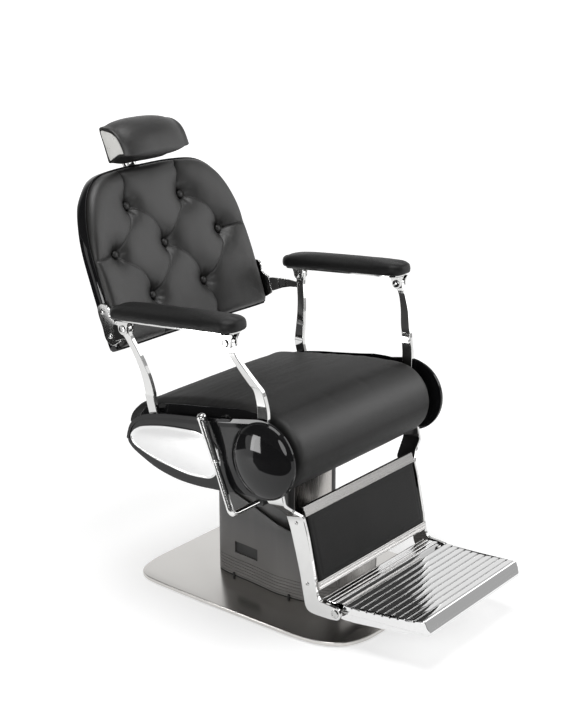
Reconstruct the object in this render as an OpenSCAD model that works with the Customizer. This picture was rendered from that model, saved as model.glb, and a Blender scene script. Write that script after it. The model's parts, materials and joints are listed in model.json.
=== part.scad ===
// Hydraulic barber chair. Millimetres, +Z up, the chair faces -Y.
// The origin is on the floor under the swivel axis, at the centre of the base plate.
// The occupant's right side is -X and the left side is +X.

/* [Base] */
// Half width of the base plate across the chair
base_half_w = 229; // [222:1:235]
// Half length of the base plate along the chair
base_half_l = 304; // [298:1:310]
// Thickness of the base plate
base_t = 9; // [8:0.5:9]
// Thickness of the rubber mat under the base plate
feet_h = 3; // [3:0.5:4]

/* [Seat] */
// Half width of the seat cushion
seat_half_w = 236; // [234:0.5:236]
// Radius of the front roll of the cushion
roll_r = 84; // [82:0.5:84]

/* [Side shells] */
// Thickness of the side shell walls
shell_t = 4.7; // [4:0.1:4.7]
// Radius of the dome caps
dome_r = 74; // [70:1:76]

/* [Arms] */
// Width of an arm pad
pad_w = 76; // [70:1:78]
// Thickness of an arm pad
pad_h = 31; // [26:1:33]
// Thickness of the flat arm posts
post_t = 10; // [9:0.5:10]

/* [Legrest] */
// Thickness of the leg bars
leg_bar_t = 8; // [7:0.5:8]
// Half width of the leg panel
panel_half_w = 191; // [186:1:192]

/* [Footrest] */
// Depth of the ribs on the foot plate
rib_h = 3; // [2:0.5:4]

/* [Hidden] */
$fn = 64;

top_z = feet_h + base_t;          // top of the base plate
pf = [-118, 396];                 // front arm post pivot, y and z
pr = [161, 374];                  // rear arm post pivot and recline axis
bf = [-65, 637];                  // front arm bolt
br = [214, 615];                  // rear arm bolt
lr = [-135, 337];                 // legrest pivot
fr = [-262, 76];                  // footrest pivot
lev = [-57, 265];                 // recline lever pivot
lev_x = 282;                      // distance of the lever from the middle
plate_i = 236.5;                  // inner face of the frame side plates
plate_o = 240.5;                  // outer face of the frame side plates
leg_i = 241.3;                    // inner face of the leg bars at the pivot
post_i = 250.3;                   // inner face of the arm posts at the pivot
shell_i = 262.3;                  // inner face of the shell walls
shell_o = shell_i + shell_t;
arm_a = 4.5;                      // slope of the arm line, degrees
back_a = 20.3;                    // lean of the back, degrees
back_o = [0, 331, 626];           // reference point on the back's front surface
back_r = 1150;                    // radius of the back's horizontal curve

// ---------- helpers ----------
// extrude a (y, z) outline along X from x0 to x1
module yz(x0, x1) translate([x0, 0, 0]) rotate([90, 0, 90]) linear_extrude(x1 - x0) children();
// extrude an (x, z) outline along Y from y0 to y1
module xz(y0, y1) translate([0, y1, 0]) rotate([90, 0, 0]) linear_extrude(y1 - y0) children();
// cylinder along X
module cx(x0, x1, p, r) translate([x0, p[0], p[1]]) rotate([0, 90, 0]) cylinder(r = r, h = x1 - x0);
// the same thing on the occupant's right (-X)
module right() mirror([1, 0, 0]) children();
// Catmull-Rom curve through hand-chosen points, n steps a span
function cr(a, b, c, d, t) = 0.5 * (2*b + (c - a)*t + (2*a - 5*b + 4*c - d)*t*t + (3*b - a - 3*c + d)*t*t*t);
function curve(p, n) = [for (i = [0:len(p)-2]) for (k = [0:n-1])
    cr(p[max(i-1, 0)], p[i], p[i+1], p[min(i+2, len(p)-1)], k/n)];
function open_curve(p, n) = concat(curve(p, n), [p[len(p)-1]]);
function rev(p) = [for (i = [len(p)-1:-1:0]) p[i]];
function mirx(p) = [for (i = [len(p)-1:-1:0]) [-p[i][0], p[i][1]]];
function arc(c, r, a0, a1, n) = [for (i = [0:n]) [c[0] + r*cos(a0 + (a1-a0)*i/n), c[1] + r*sin(a0 + (a1-a0)*i/n)]];
// rounded rectangle, half sizes a and b, corner radius r
module rrect(a, b, r) polygon(concat(arc([a-r, b-r], r, 0, 90, 10), arc([-a+r, b-r], r, 90, 180, 10),
    arc([-a+r, -b+r], r, 180, 270, 10), arc([a-r, -b+r], r, 270, 360, 10)));
// flat bar along rows [y, z, x, w]: w is its width in y, t its thickness in x
module flat_bar(rows, t) {
    q = open_curve(rows, 4);
    intersection() {
        yz(100, 400) polygon(concat([for (p = q) [p[0] - p[3]/2, p[1]]], rev([for (p = q) [p[0] + p[3]/2, p[1]]])));
        xz(-400, 400) polygon(concat([for (p = q) [p[2] - t/2, p[1]]], rev([for (p = q) [p[2] + t/2, p[1]]])));
    }
}
module in_arm() translate([0, br[0], br[1]]) rotate([-arm_a, 0, 0]) children();
module in_back() translate(back_o) rotate([-back_a, 0, 0]) children();

// ---------- base ----------
base_side = open_curve([[0, -304], [90, -304], [150, -299], [195, -278], [219, -240], [229, -190], [231, -120],
    [229, 0], [226, 120], [222, 215], [214, 262], [190, 289], [140, 302], [80, 304], [0, 304]], 4);
function base_pt(p, d, s) = [s*p[0]*(base_half_w - d)/231, p[1]*(base_half_l - d)/304];
module base_outline(d) polygon(concat([for (p = base_side) base_pt(p, d, 1)],
    [for (i = [len(base_side) - 2:-1:1]) base_pt(base_side[i], d, -1)]));
module base_plate() color([0.68, 0.67, 0.65]) difference() {
    union() {
        translate([0, 0, feet_h]) linear_extrude(base_t - 1.2) base_outline(0);
        translate([0, 0, feet_h + base_t - 1.2]) linear_extrude(0.6) base_outline(0.6);
        translate([0, 0, feet_h + base_t - 0.6]) linear_extrude(0.6) base_outline(1.4);
    }
    for (a = [45:90:315]) rotate([0, 0, a]) translate([72, 0, 0]) cylinder(r = 5, h = 40);
}
module base_mat() color([0.06, 0.06, 0.06]) linear_extrude(feet_h) base_outline(5);

module pump_cylinder() color([0.35, 0.36, 0.38]) translate([0, 0, top_z]) difference() {
    union() {
        cylinder(r = 58, h = 4);
        linear_extrude(9) rrect(64, 64, 14);
        cylinder(r = 42, h = 172);
        cylinder(r = 48, h = 24);
    }
    translate([0, 0, 12]) cylinder(r = 34.05, h = 200);
    for (a = [45:90:315]) rotate([0, 0, a]) translate([72, 0, -1]) cylinder(r = 5, h = 40);
}
module pump_bolts() color([0.5, 0.5, 0.52]) for (a = [45:90:315]) rotate([0, 0, a]) translate([72, 0, 0]) {
    translate([0, 0, feet_h + 1]) cylinder(r = 5, h = base_t + 8);
    translate([0, 0, top_z + 9]) cylinder(r = 8.5, h = 6, $fn = 6);
}
module pump_gland() color([0.08, 0.08, 0.08]) translate([0, 0, top_z + 172]) difference() {
    union() { cylinder(r = 44, h = 6); translate([0, 0, 6]) cylinder(r1 = 42, r2 = 38, h = 4); }
    translate([0, 0, -1]) cylinder(r = 34.05, h = 20);
}
// half outline of the lower cover, from the rear middle to the front corner
cov = open_curve([[0, 170], [45, 167], [70, 160], [85, 145], [92, 102], [97, 45], [105, -20], [105, -45], [100, -92],
    [91, -125], [81, -152], [72, -168], [66, -172], [0, -172]], 4);
module cover_outline(s) polygon(concat([for (p = cov) [p[0]*s, p[1]*s - (1-s)*6]], rev([for (p = cov) [-p[0]*s, p[1]*s - (1-s)*6]])));
module cover_slope(y0, z0, y1, z1, h) yz(-300, 300) polygon([[y0, z0], [y1, z1], [y1, z1 + h], [y0, z0 + h]]);
module lower_cover() color([0.09, 0.09, 0.095]) difference() {
    translate([0, 0, top_z]) linear_extrude(230) cover_outline(1);
    translate([0, 0, top_z - 1]) linear_extrude(240) cover_outline(0.962);
    // slanted top edge, high at the back
    cover_slope(-200, 132, 200, 240, 200);
    // grooves around the foot
    for (i = [0:5]) translate([0, 0, 17 + i*7.4]) linear_extrude(2) difference() {
        square([400, 500], center = true); cover_outline(0.988); }
    // pedal slot on the left and its twin, blanked off, on the right
    translate([60, 27, 64]) cube([80, 66, 38]);
    translate([-140, 29, 70]) cube([41.2, 61, 27]);
    // seat of the front panel
    translate([-66, -174, 11]) cube([132, 5, 150]);
}
module lower_front_panel() color([0.32, 0.32, 0.33]) difference() {
    translate([-65.6, -173, top_z]) cube([131.2, 4, 128]);
    cover_slope(-200, 132, 200, 240, 200);
}
module cover_clips() color([0.05, 0.05, 0.05]) for (s = [-1, 1]) {
    translate([s*95, 100, top_z]) cylinder(r = 2.6, h = 8);
    translate([s*106.4, -65, top_z]) cylinder(r = 2.6, h = 8);
}
module pedal_bracket() color([0.3, 0.3, 0.32]) {
    for (y = [44, 71]) xz(y, y + 5) polygon([[66, top_z], [80, top_z], [80, 42], [72, 94], [68, 96], [54, 96], [50, 92], [50, 70], [66, 36]]);
    translate([66, 44, top_z]) cube([14, 32, 5]);
    translate([61, 40, 84]) rotate([-90, 0, 0]) cylinder(r = 5, h = 40);
}
// ---------- pedal ----------
module pedal_arm() color([0.75, 0.76, 0.78]) difference() {
    union() {
        translate([61, 50, 84]) rotate([-90, 0, 0]) cylinder(r = 11, h = 20);
        translate([0, 70, 0]) rotate([90, 0, 0]) linear_extrude(20) polygon([[61, 73], [61, 95], [146, 92], [156, 88],
            [184, 56], [190, 48], [236, 48], [236, 42], [190, 42], [182, 45], [152, 78], [144, 81]]);
        translate([190, 38, 42]) cube([46, 44, 6]);
    }
    translate([61, 40, 84]) rotate([-90, 0, 0]) cylinder(r = 5.05, h = 40);
}
module pedal_pad() color([0.05, 0.05, 0.05]) difference() {
    translate([187, 35, 40]) cube([53, 50, 14]);
    translate([180, 38, 42]) cube([56, 44, 6]);
    translate([180, 50, 42]) cube([20, 20, 14]);
    for (i = [0:4]) translate([200 + i*8, 30, 52.5]) cube([3, 60, 4]);
}
// ---------- lift ----------
module ram() color([0.8, 0.81, 0.83]) {
    translate([0, 0, 40]) cylinder(r = 34, h = 276);
    translate([0, 0, 316]) cylinder(r = 20, h = 12);
    translate([0, 0, 308]) cylinder(r = 46, h = 8);
}
icov = open_curve([[0, 152], [45, 151], [66, 146], [76, 134], [84, 100], [89, 45], [93, 0], [92, -28],
    [88, -44], [82, -49], [66, -49.5], [0, -49.5]], 4);
module inner_outline(s) polygon(concat([for (p = icov) [p[0]*s, (p[1] - 50)*s + 50]], rev([for (p = icov) [-p[0]*s, (p[1] - 50)*s + 50]])));
module inner_cover() color([0.09, 0.09, 0.095]) difference() {
    translate([0, 0, 44]) linear_extrude(267) inner_outline(1);
    translate([0, 0, 43]) linear_extrude(265) inner_outline(0.962);
    // notch that clears the pump pedal
    translate([50, 38, 40]) cube([60, 44, 72]);
    translate([0, 0, 300]) cylinder(r = 46, h = 30);
    translate([-67, -52, 43]) cube([134, 4.4, 280]);
}
module inner_front_panel() color([0.6, 0.6, 0.6]) translate([-66.7, -50.5, 44]) cube([133.4, 2.9, 267]);

// ---------- seat ----------
module swivel_hub() color([0.3, 0.3, 0.32]) difference() {
    union() {
        translate([0, 0, 316.3]) cylinder(r = 38, h = 22);
        translate([0, 0, 322]) cylinder(r = 62, h = 8);
    }
    translate([0, 0, 316]) cylinder(r = 20.05, h = 30);
}
module frame_cross() color([0.12, 0.12, 0.12]) difference() {
    union() {
        translate([-95, -30, 330]) cube([190, 170, 6]);
        for (y = [-34, 108]) translate([-plate_i, y, 330]) cube([2*plate_i, 26, 24]);
        for (x = [-180, 170]) translate([x, -30, 354]) cube([10, 60, 32]);
        for (x = [-180, 170]) translate([x, 108, 354]) cube([10, 26, 32]);
    }
    translate([0, 0, 320]) cylinder(r = 38, h = 20);
    for (y = [-31, 111]) translate([-plate_i + 12, y, 333]) cube([2*plate_i - 24, 20, 18]);
    translate([-146, -40, 324]) cube([32, 200, 22]);
}
side_pl = [[-152, 337], [-149, 327], [-141, 321], [-128, 321], [-60, 331], [20, 328], [160, 328], [214, 342], [236, 362], [238, 378],
    [225, 392], [190, 404], [100, 420], [-20, 436], [-90, 446], [-112, 446], [-128, 440], [-140, 424], [-150, 380]];
module frame_side() difference() {
    yz(plate_i, plate_o) polygon(side_pl);
    cx(230, 250, pf, 7);
    cx(230, 250, lr, 7);
    cx(230, 250, pr, 9.05);
}
module frame_side_left() color([0.12, 0.12, 0.12]) frame_side();
module frame_side_right() color([0.12, 0.12, 0.12]) right() frame_side();
module pins() {
    cx(plate_i, 261.6, pf, 7);
    cx(plate_i, 249.8, lr, 7);
}
module pivot_pins() color([0.6, 0.6, 0.62]) { pins(); right() pins(); }

shell_top = [[-46, 466], [0, 458], [60, 449], [110, 442], [154, 434], [190, 425], [209, 417], [227, 405], [239, 390], [246, 372], [249, 358]];
shell_bot = [[246, 349], [234, 338], [208, 325], [170, 310], [130, 301], [94, 297], [50, 297], [12, 300], [-30, 304], [-66, 310]];
shell_pts = concat(open_curve(shell_top, 3), open_curve(shell_bot, 3));
module shell_outline() { polygon(concat(shell_pts, [[-123, 311.2], [-122, 395], [-107, 477.4]])); translate([-122, 395]) circle(r = roll_r); }
rim_in = open_curve([[-40, 458], [20, 447], [100, 435], [154, 426], [193, 414], [219, 400], [233, 385], [239, 370], [241, 358]], 3);
flange_o = open_curve([[243, 347], [234, 338.5], [208, 325], [170, 310], [130, 301], [94, 297], [50, 297], [12, 300], [-30, 304], [-60, 309]], 3);
flange_i = open_curve([[240, 350], [232, 342], [206.5, 328.5], [169, 313.5], [130, 304.5], [94, 300.5], [50, 300.5], [12, 303.5], [-30, 307.5], [-60, 312.5]], 3);
module shell() {
    yz(shell_i, shell_o) shell_outline();
    // bottom flange, turned in
    yz(242.3, shell_i) polygon(concat(flange_o, rev(flange_i)));
    // raised rim along the top and round the rear
    yz(shell_o, shell_o + 2) polygon(concat(open_curve(shell_top, 3), rev(rim_in)));
}
module shell_left() color([0.02, 0.02, 0.022]) shell();
module shell_right() color([0.02, 0.02, 0.022]) right() shell();
// dome cap, a shallow turned bowl closed at the back
module dome() translate([shell_o, -125, 396]) rotate([0, 90, 0]) rotate_extrude($fn = 96)
    polygon(concat([[0, 0], [dome_r, 0]], [for (i = [1:11]) [dome_r*pow(cos(i*7.5), 0.62), 18*sin(i*7.5)]], [[0, 18]]));
module dome_left() color([0.02, 0.02, 0.022]) dome();
module dome_right() color([0.02, 0.02, 0.022]) right() dome();
oval = curve([[237.5, 363], [230, 377], [212, 388], [188, 396], [141, 407], [90, 413], [50, 416], [14, 410], [-8, 392], [-16, 368], [-10, 345],
    [9, 325], [40, 319], [83, 318], [158, 328], [204, 340], [228, 350], [237.5, 363]], 4);
module side_plate() yz(shell_o + 0.01, shell_o + 2.4) polygon(oval);
module side_plate_left() color([0.8, 0.81, 0.83]) side_plate();
module side_plate_right() color([0.8, 0.81, 0.83]) right() side_plate();

module seat_board() color([0.72, 0.58, 0.4]) difference() {
    translate([-226, -24, 386]) cube([452, 262, 9.7]);
    for (x = [-150, 150]) for (y = [10, 200]) translate([x, y, 380]) cylinder(r = 12, h = 20);
}
seat_top = [[-40, 478], [-20, 476], [40, 469], [112, 459], [170, 449], [222, 437], [244, 431], [255, 424], [259, 414], [258, 404], [252, 396]];
module seat_profile() { translate(pf) circle(r = roll_r, $fn = 96);
    polygon(concat([[-118, 396], [-118, 480], [-110, 480], [-80, 479.5], [-55, 478.8]], open_curve(seat_top, 3))); }
module seat_cushion() color([0.05, 0.05, 0.052]) {
    yz(-seat_half_w + 11, seat_half_w - 11) seat_profile();
    for (s = [0, 1]) mirror([s, 0, 0]) {
        yz(seat_half_w - 11, seat_half_w - 6) offset(delta = -1.2) seat_profile();
        yz(seat_half_w - 6, seat_half_w - 2) offset(delta = -4) seat_profile();
        yz(seat_half_w - 2, seat_half_w) offset(delta = -8) seat_profile();
    }
}
module lever_bracket() color([0.12, 0.12, 0.12]) right() difference() {
    union() {
        cx(172, 196, lev, 11);
        translate([172, lev[0] - 7, lev[1]]) cube([5, 14, 330 - lev[1]]);
        translate([172, lev[0] - 7, 324]) cube([24, 50, 6]);
    }
    cx(165, 200, lev, 6.05);
}
module lock_cylinder() color([0.1, 0.1, 0.1]) difference() {
    union() {
        translate([-130, -8, 331]) rotate([-90, 0, 0]) cylinder(r = 10.5, h = 112);
        translate([-136, -22, 324]) cube([12, 15, 22]);
    }
    translate([-130, 6, 331]) rotate([-90, 0, 0]) cylinder(r = 5.05, h = 120);
}
// ---------- lever ----------
module recline_lever() color([0.8, 0.81, 0.83]) right() {
    cx(166, lev_x, lev, 6);
    cx(160, 166, lev, 9);
    translate([lev_x, lev[0], lev[1]]) rotate([-22, 0, 0]) translate([0, 0, 6]) cylinder(r = 4.8, h = 110);
    translate([lev_x, lev[0], lev[1]]) sphere(r = 6.2);
    translate([lev_x, lev[0], lev[1]]) rotate([-22, 0, 0]) cylinder(r1 = 6, r2 = 4.8, h = 20);
}
module lever_sleeve() color([0.8, 0.81, 0.83]) right() translate([lev_x, lev[0], lev[1]]) rotate([-22, 0, 0]) translate([0, 0, 116]) {
    cylinder(r = 5.9, h = 99);
    cylinder(r = 6.6, h = 5);
    translate([0, 0, 99]) sphere(r = 5.9);
}
// ---------- recline lock rod ----------
module lock_rod() color([0.75, 0.76, 0.78]) {
    translate([-130, 80, 331]) rotate([-90, 0, 0]) cylinder(r = 5, h = 92);
    translate([-136, 169, 324]) cube([12, 14, 14]);
    translate([-130, 176.6, 331]) rotate([0, 90, 0]) cylinder(r = 4, h = 22);
}
// ---------- back ----------
module recline_shaft() color([0.5, 0.5, 0.52]) {
    cx(-260.3, 260.3, pr, 9);
    translate([-122, pr[0], pr[1]]) rotate([20, 0, 0]) difference() {
        union() {
            translate([0, -10, -54]) cube([7, 20, 54]);
            rotate([0, 90, 0]) cylinder(r = 11.5, h = 7);
            translate([0, 0, -54]) rotate([0, 90, 0]) cylinder(r = 10, h = 7);
        }
        translate([-1, -4.7, -50]) cube([9, 9.4, 10]);
        translate([-1, 0, -50]) rotate([0, 90, 0]) cylinder(r = 4.7, h = 9);
        translate([-1, 0, -40]) rotate([0, 90, 0]) cylinder(r = 4.7, h = 9);
    }
}
rear_rows = [[161, 374, 255.3, 25], [173, 415, 255.3, 25], [185, 457, 255.3, 25], [186, 472, 256, 24.5], [188, 502, 262, 22],
    [192, 532, 270, 20], [199, 562, 279, 19], [208, 590, 288, 19], [213, 606, 294, 22], [214, 615, 294, 24]];
module rear_post() difference() {
    union() {
        flat_bar(rear_rows, post_t);
        cx(post_i, post_i + post_t, pr, 16);
        cx(289, 299, br, 12);
    }
    cx(240, 270, pr, 9);
    cx(280, 310, br, 6.05);
}
module rear_post_left() color([0.8, 0.81, 0.83]) rear_post();
module rear_post_right() color([0.8, 0.81, 0.83]) right() rear_post();
brk = curve([[317, 641], [327, 638], [334, 628], [332, 614], [322, 590], [314, 566], [303, 556], [290, 554], [276, 562], [268, 569],
    [272, 584], [278, 604], [288, 609], [299, 616], [302, 632], [308, 639], [317, 641]], 3);
module back_bracket() {
    difference() {
        yz(252.3, 257.3) polygon(brk);
        cx(245, 265, [319, 624], 3.5);
        cx(245, 265, [298, 574], 3.5);
    }
    // joggled tab that meets the rear post
    intersection() {
        yz(240, 300) polygon([[208.4, 556], [216, 582], [278, 603], [272, 568]]);
        translate([0, 0, 500]) linear_extrude(150) polygon([[257.3, 280], [252.3, 280], [252.3, 262], [274, 199], [280, 199], [257.3, 266]]);
    }
}
module back_bracket_left() color([0.8, 0.81, 0.83]) back_bracket();
module back_bracket_right() color([0.8, 0.81, 0.83]) right() back_bracket();
module b_screws() for (p = [[319, 624], [298, 574]]) {
    cx(248, 257.3, p, 3.5);
    cx(257.3, 259.8, p, 6);
}
module bracket_screws() color([0.7, 0.7, 0.72]) { b_screws(); right() b_screws(); }

// half outline of the back in its own plane, from the bottom middle up to the top middle
back_side = open_curve([[0, -92], [120, -92], [228, -92], [240, -89], [245, -80], [246, 0], [246, 60], [245, 110], [241, 146], [233, 178],
    [221, 210], [204, 238], [180, 261], [150, 275], [110, 281], [60, 284], [0, 284]], 3);
module back_outline(d) polygon(concat([for (p = back_side) [p[0] + d*sign(p[0])*min(1, abs(p[0])/200), p[1] + (p[1] > 96 ? d : -d)]],
    rev([for (p = back_side) [-p[0] - d*sign(p[0])*min(1, abs(p[0])/200), p[1] + (p[1] > 96 ? d : -d)]])));
// slab of the curved back between two depths behind the front surface
module back_slab(d0, d1, grow) intersection() {
    translate([0, 60, 0]) rotate([90, 0, 0]) linear_extrude(200) back_outline(grow);
    translate([0, -3.5 - back_r, -120]) difference() {
        cylinder(r = back_r + d1, h = 440, $fn = 360);
        translate([0, 0, -1]) cylinder(r = back_r + d0, h = 442, $fn = 360);
    }
}
module back_cushion() color([0.05, 0.05, 0.052]) in_back() difference() {
    back_slab(0, 28, 0);
    for (b = [[-88, 202], [88, 202], [-170, 104], [0, 104], [170, 104], [-85, -2], [85, -2]])
        translate([b[0], 0, b[1]]) rotate([90, 0, 0]) cylinder(r = 9.3, h = 40, $fn = 32, center = true);
}
module back_shell() color([0.02, 0.02, 0.022]) in_back() {
    back_slab(36, 41, 3.5);
    difference() { back_slab(28, 36.01, 3.5); back_slab(20, 60, -6); }
}
module back_buttons() color([0.05, 0.05, 0.052]) in_back()
    for (b = [[-88, 202], [88, 202], [-170, 104], [0, 104], [170, 104], [-85, -2], [85, -2]])
        translate([b[0], -3.5 - (b[0]*b[0])/(2*back_r) + 6, b[1]]) rotate([90, 0, 0]) {
            cylinder(r1 = 8.6, r2 = 6.5, h = 5, $fn = 32);
            translate([0, 0, -14]) cylinder(r = 2.5, h = 14, $fn = 24);
        }
module headrest_guide() color([0.1, 0.1, 0.1]) in_back() difference() {
    translate([-30, 37.5, 60]) cube([60, 21, 206]);
    translate([-18.6, 44, 50]) cube([37.2, 6.2, 230]);
}
// ---------- front posts ----------
front_rows = [[-118, 396, 255.3, 26], [-119, 440, 255.3, 26], [-120, 487, 255.3, 26], [-117, 512, 256, 24.5], [-112, 537, 260, 22.5],
    [-104, 554, 268, 22], [-92, 582, 282, 20], [-78, 610, 292.5, 17], [-69, 628, 294, 20], [-65, 637, 294, 22]];
module front_post() difference() {
    union() {
        flat_bar(front_rows, post_t);
        cx(post_i, post_i + post_t, pf, 16);
        cx(289, 299, bf, 11.5);
    }
    cx(240, 270, pf, 7.05);
    cx(280, 310, bf, 6.6);
}
module front_post_left() color([0.8, 0.81, 0.83]) front_post();
module front_post_right() color([0.8, 0.81, 0.83]) right() front_post();
// ---------- arms ----------
module arm_plate() in_arm() difference() {
    union() {
        translate([286.5, -134, 17.2]) linear_extrude(4.8) rrect(26, 163, 22);
        for (y = [-279.9, 0]) for (x = [282.5, 300.5]) difference() {
            union() {
                translate([x, y, 0]) rotate([0, 90, 0]) cylinder(r = 12.5, h = 5);
                yz(x, x + 5) polygon([[y - 12.5, 0], [y + 12.5, 0], [y + 14.5, 9], [y + 20, 18], [y - 20, 18], [y - 14.5, 9]]);
            }
            translate([x - 1, y, 0]) rotate([0, 90, 0]) cylinder(r = 6, h = 8);
        }
    }
}
module arm_plate_left() color([0.8, 0.81, 0.83]) arm_plate();
module arm_plate_right() color([0.8, 0.81, 0.83]) right() arm_plate();
module arm_pad() in_arm() translate([286.5, -137, 22]) {
    linear_extrude(pad_h - 7) rrect(pad_w/2, 173, 34);
    translate([0, 0, pad_h - 7]) linear_extrude(4) rrect(pad_w/2 - 4, 169, 30);
    translate([0, 0, pad_h - 3]) linear_extrude(3) rrect(pad_w/2 - 12, 161, 24);
}
module arm_pad_left() color([0.04, 0.04, 0.042]) arm_pad();
module arm_pad_right() color([0.04, 0.04, 0.042]) right() arm_pad();
module arm_bolts() in_arm() for (y = [-279.9, 0]) {
    translate([282.5, y, 0]) rotate([0, 90, 0]) cylinder(r = 6, h = 23);
    translate([305.5, y, 0]) rotate([0, 90, 0]) cylinder(r1 = 8.5, r2 = 7.5, h = 2.6);
    translate([279.9, y, 0]) rotate([0, 90, 0]) cylinder(r = 8.5, h = 2.6);
}
module arm_bolts_left() color([0.7, 0.71, 0.73]) arm_bolts();
module arm_bolts_right() color([0.7, 0.71, 0.73]) right() arm_bolts();
// ---------- legrest ----------
leg_front = [[-156, 337], [-158, 330], [-163, 312], [-167, 296], [-171, 282], [-179, 268], [-184, 252], [-193, 221], [-206, 160], [-211, 130],
    [-215, 109], [-219, 99], [-226, 93], [-246, 91.5], [-262, 90]];
leg_rear = [[-114, 337], [-117, 320], [-121, 305], [-127, 284], [-133, 266], [-139, 252], [-146, 237], [-154, 210], [-170, 150], [-176, 122],
    [-182, 91], [-186, 73], [-191, 65], [-203, 60], [-219, 59], [-246, 60], [-262, 62]];
leg_x = [[245.3, 360], [245.3, 330], [245.3, 305], [244, 300], [239.5, 295.5], [223, 282.5], [207, 270], [202.6, 264.5], [201.6, 259], [201.6, 40]];
module leg_bar() difference() {
    union() {
        intersection() {
            yz(100, 400) polygon(concat(open_curve(leg_front, 3), rev(open_curve(leg_rear, 3))));
            xz(-400, 0) polygon(concat([for (p = leg_x) [p[0] - leg_bar_t/2, p[1]]], rev([for (p = leg_x) [p[0] + leg_bar_t/2, p[1]]])));
        }
        cx(leg_i, leg_i + leg_bar_t, lr, 21);
        cx(197.6, 197.6 + leg_bar_t, fr, 14);
    }
    cx(230, 260, lr, 7.05);
    cx(190, 210, fr, 5);
    for (p = [[-163, 250], [-192, 123]]) cx(190, 210, p, 2.5);
}
module leg_bar_left() color([0.8, 0.81, 0.83]) leg_bar();
module leg_bar_right() color([0.8, 0.81, 0.83]) right() leg_bar();
pan_t = [-182, 265];
pan_b = [-215, 130];
module leg_pad() color([0.05, 0.05, 0.052]) {
    // board and padded face
    yz(-panel_half_w, panel_half_w) polygon([[-180.5, 264.7], [-182, 264.7], [-184, 260], [-215, 133], [-214.5, 130.3], [-207, 130.3], [-174.5, 264.7]]);
}
module leg_trims() color([0.75, 0.76, 0.77]) {
    yz(-197, 197) polygon([[-173, 285], [-182, 265], [-176.5, 265], [-168, 285]]);
    yz(-197, 197) polygon([[-215, 130], [-217.5, 124], [-216, 122], [-216, 119], [-218.5, 117], [-217, 112], [-206, 112], [-204, 130]]);
}
module l_screws() {
    for (p = [[-163, 250], [-192, 123]]) { cx(197, 205.6, p, 2.5); cx(205.6, 207, p, 4.2); }
    // footrest hinge bolts
    cx(176, 205.6, fr, 5);
    cx(205.6, 208.6, fr, 9);
}
module leg_screws() color([0.7, 0.71, 0.73]) { l_screws(); right() l_screws(); }
// ---------- footrest ----------
foot_half = [[-217, 189], [-262, 191], [-277, 193], [-330, 190.5], [-400, 185], [-450, 179.5], [-466, 177.5], [-471, 173]];
module foot_plan() polygon(concat([for (p = foot_half) [p[1], p[0]]], rev([for (p = foot_half) [-p[1], p[0]]])));
module footrest_plate() color([0.82, 0.83, 0.84]) difference() {
    intersection() {
        translate([0, 0, 40]) linear_extrude(100) foot_plan();
        yz(-200, 200) difference() {
            polygon([[-216, 70], [-216, 90], [-258, 93], [-276, 95], [-300, 95.5], [-380, 100.5], [-440, 107], [-466, 112], [-470, 111], [-472, 106],
                [-472, 82], [-466, 79.5], [-440, 76.5], [-380, 70], [-300, 63], [-276, 61.5], [-262, 62], [-230, 66]]);
            // hollow underside
            polygon([[-290, 50], [-290, 87], [-380, 92], [-452, 100], [-452, 50]]);
        }
    }
    // ribs on the tread
    for (y = [-227, -241, -255]) translate([-200, y, 94.2 - rib_h + (y + 227)*-0.05]) cube([400, 5, 10]);
    for (i = [0:11]) translate([-200, -297 - i*13.9, 95.2 - rib_h + i*0.95 + (i > 8 ? (i-8)*0.7 : 0)]) cube([400, 5, 14]);
    translate([-210, -272, 84]) cube([420, 8, 20]);
    cx(170, 215, fr, 5.06);
    cx(-215, -170, fr, 5.06);
}
// ---------- headrest ----------
module headrest_stem() color([0.8, 0.81, 0.83]) in_back() {
    translate([-18.5, 44.1, 120]) cube([37, 6, 188]);
    translate([-18.5, 44.1, 300]) cube([37, 6, 10]);
    for (x = [-18.5, 11.5]) difference() {
        union() {
            translate([x, 34, 300]) cube([7, 16.1, 10]);
            translate([x, 36, 310]) rotate([0, 90, 0]) cylinder(r = 10, h = 7);
        }
        translate([x - 1, 36, 310]) rotate([0, 90, 0]) cylinder(r = 4, h = 9);
    }
    translate([-18.5, 36, 310]) rotate([0, 90, 0]) cylinder(r = 4, h = 37);
}
module headrest_bracket() color([0.3, 0.3, 0.32]) in_back() difference() {
    union() {
        translate([-10.5, 36, 310]) rotate([0, 90, 0]) cylinder(r = 7.5, h = 21);
        translate([-10.5, 14, 303]) cube([21, 22, 14]);
        translate([-28, 10.6, 303]) cube([56, 4, 55]);
    }
    translate([-12, 36, 310]) rotate([0, 90, 0]) cylinder(r = 4.05, h = 24);
}
head_pts = curve([[470, 988], [449, 992], [428, 989], [408, 978], [393, 960], [382, 935], [381, 926], [388, 919], [404, 918], [427, 906], [437, 900], [444, 904], [452, 926], [463, 956], [470, 975], [470, 988]], 3);
module headrest_pad() color([0.05, 0.05, 0.052]) difference() {
    yz(-110, 110) polygon(head_pts);
    for (s = [0, 1]) mirror([s, 0, 0]) yz(104.5, 111) polygon(end_pts);
}
end_pts = curve([[463, 976], [448, 978.5], [428, 975], [411, 965], [399, 948], [392, 934], [396, 930.5], [407, 928.5], [427, 916], [434, 912], [440, 920], [450, 944], [463, 976]], 3);
module headrest_plates() color([0.8, 0.81, 0.83]) for (s = [0, 1]) mirror([s, 0, 0]) yz(104.5, 107) polygon(end_pts);

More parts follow.
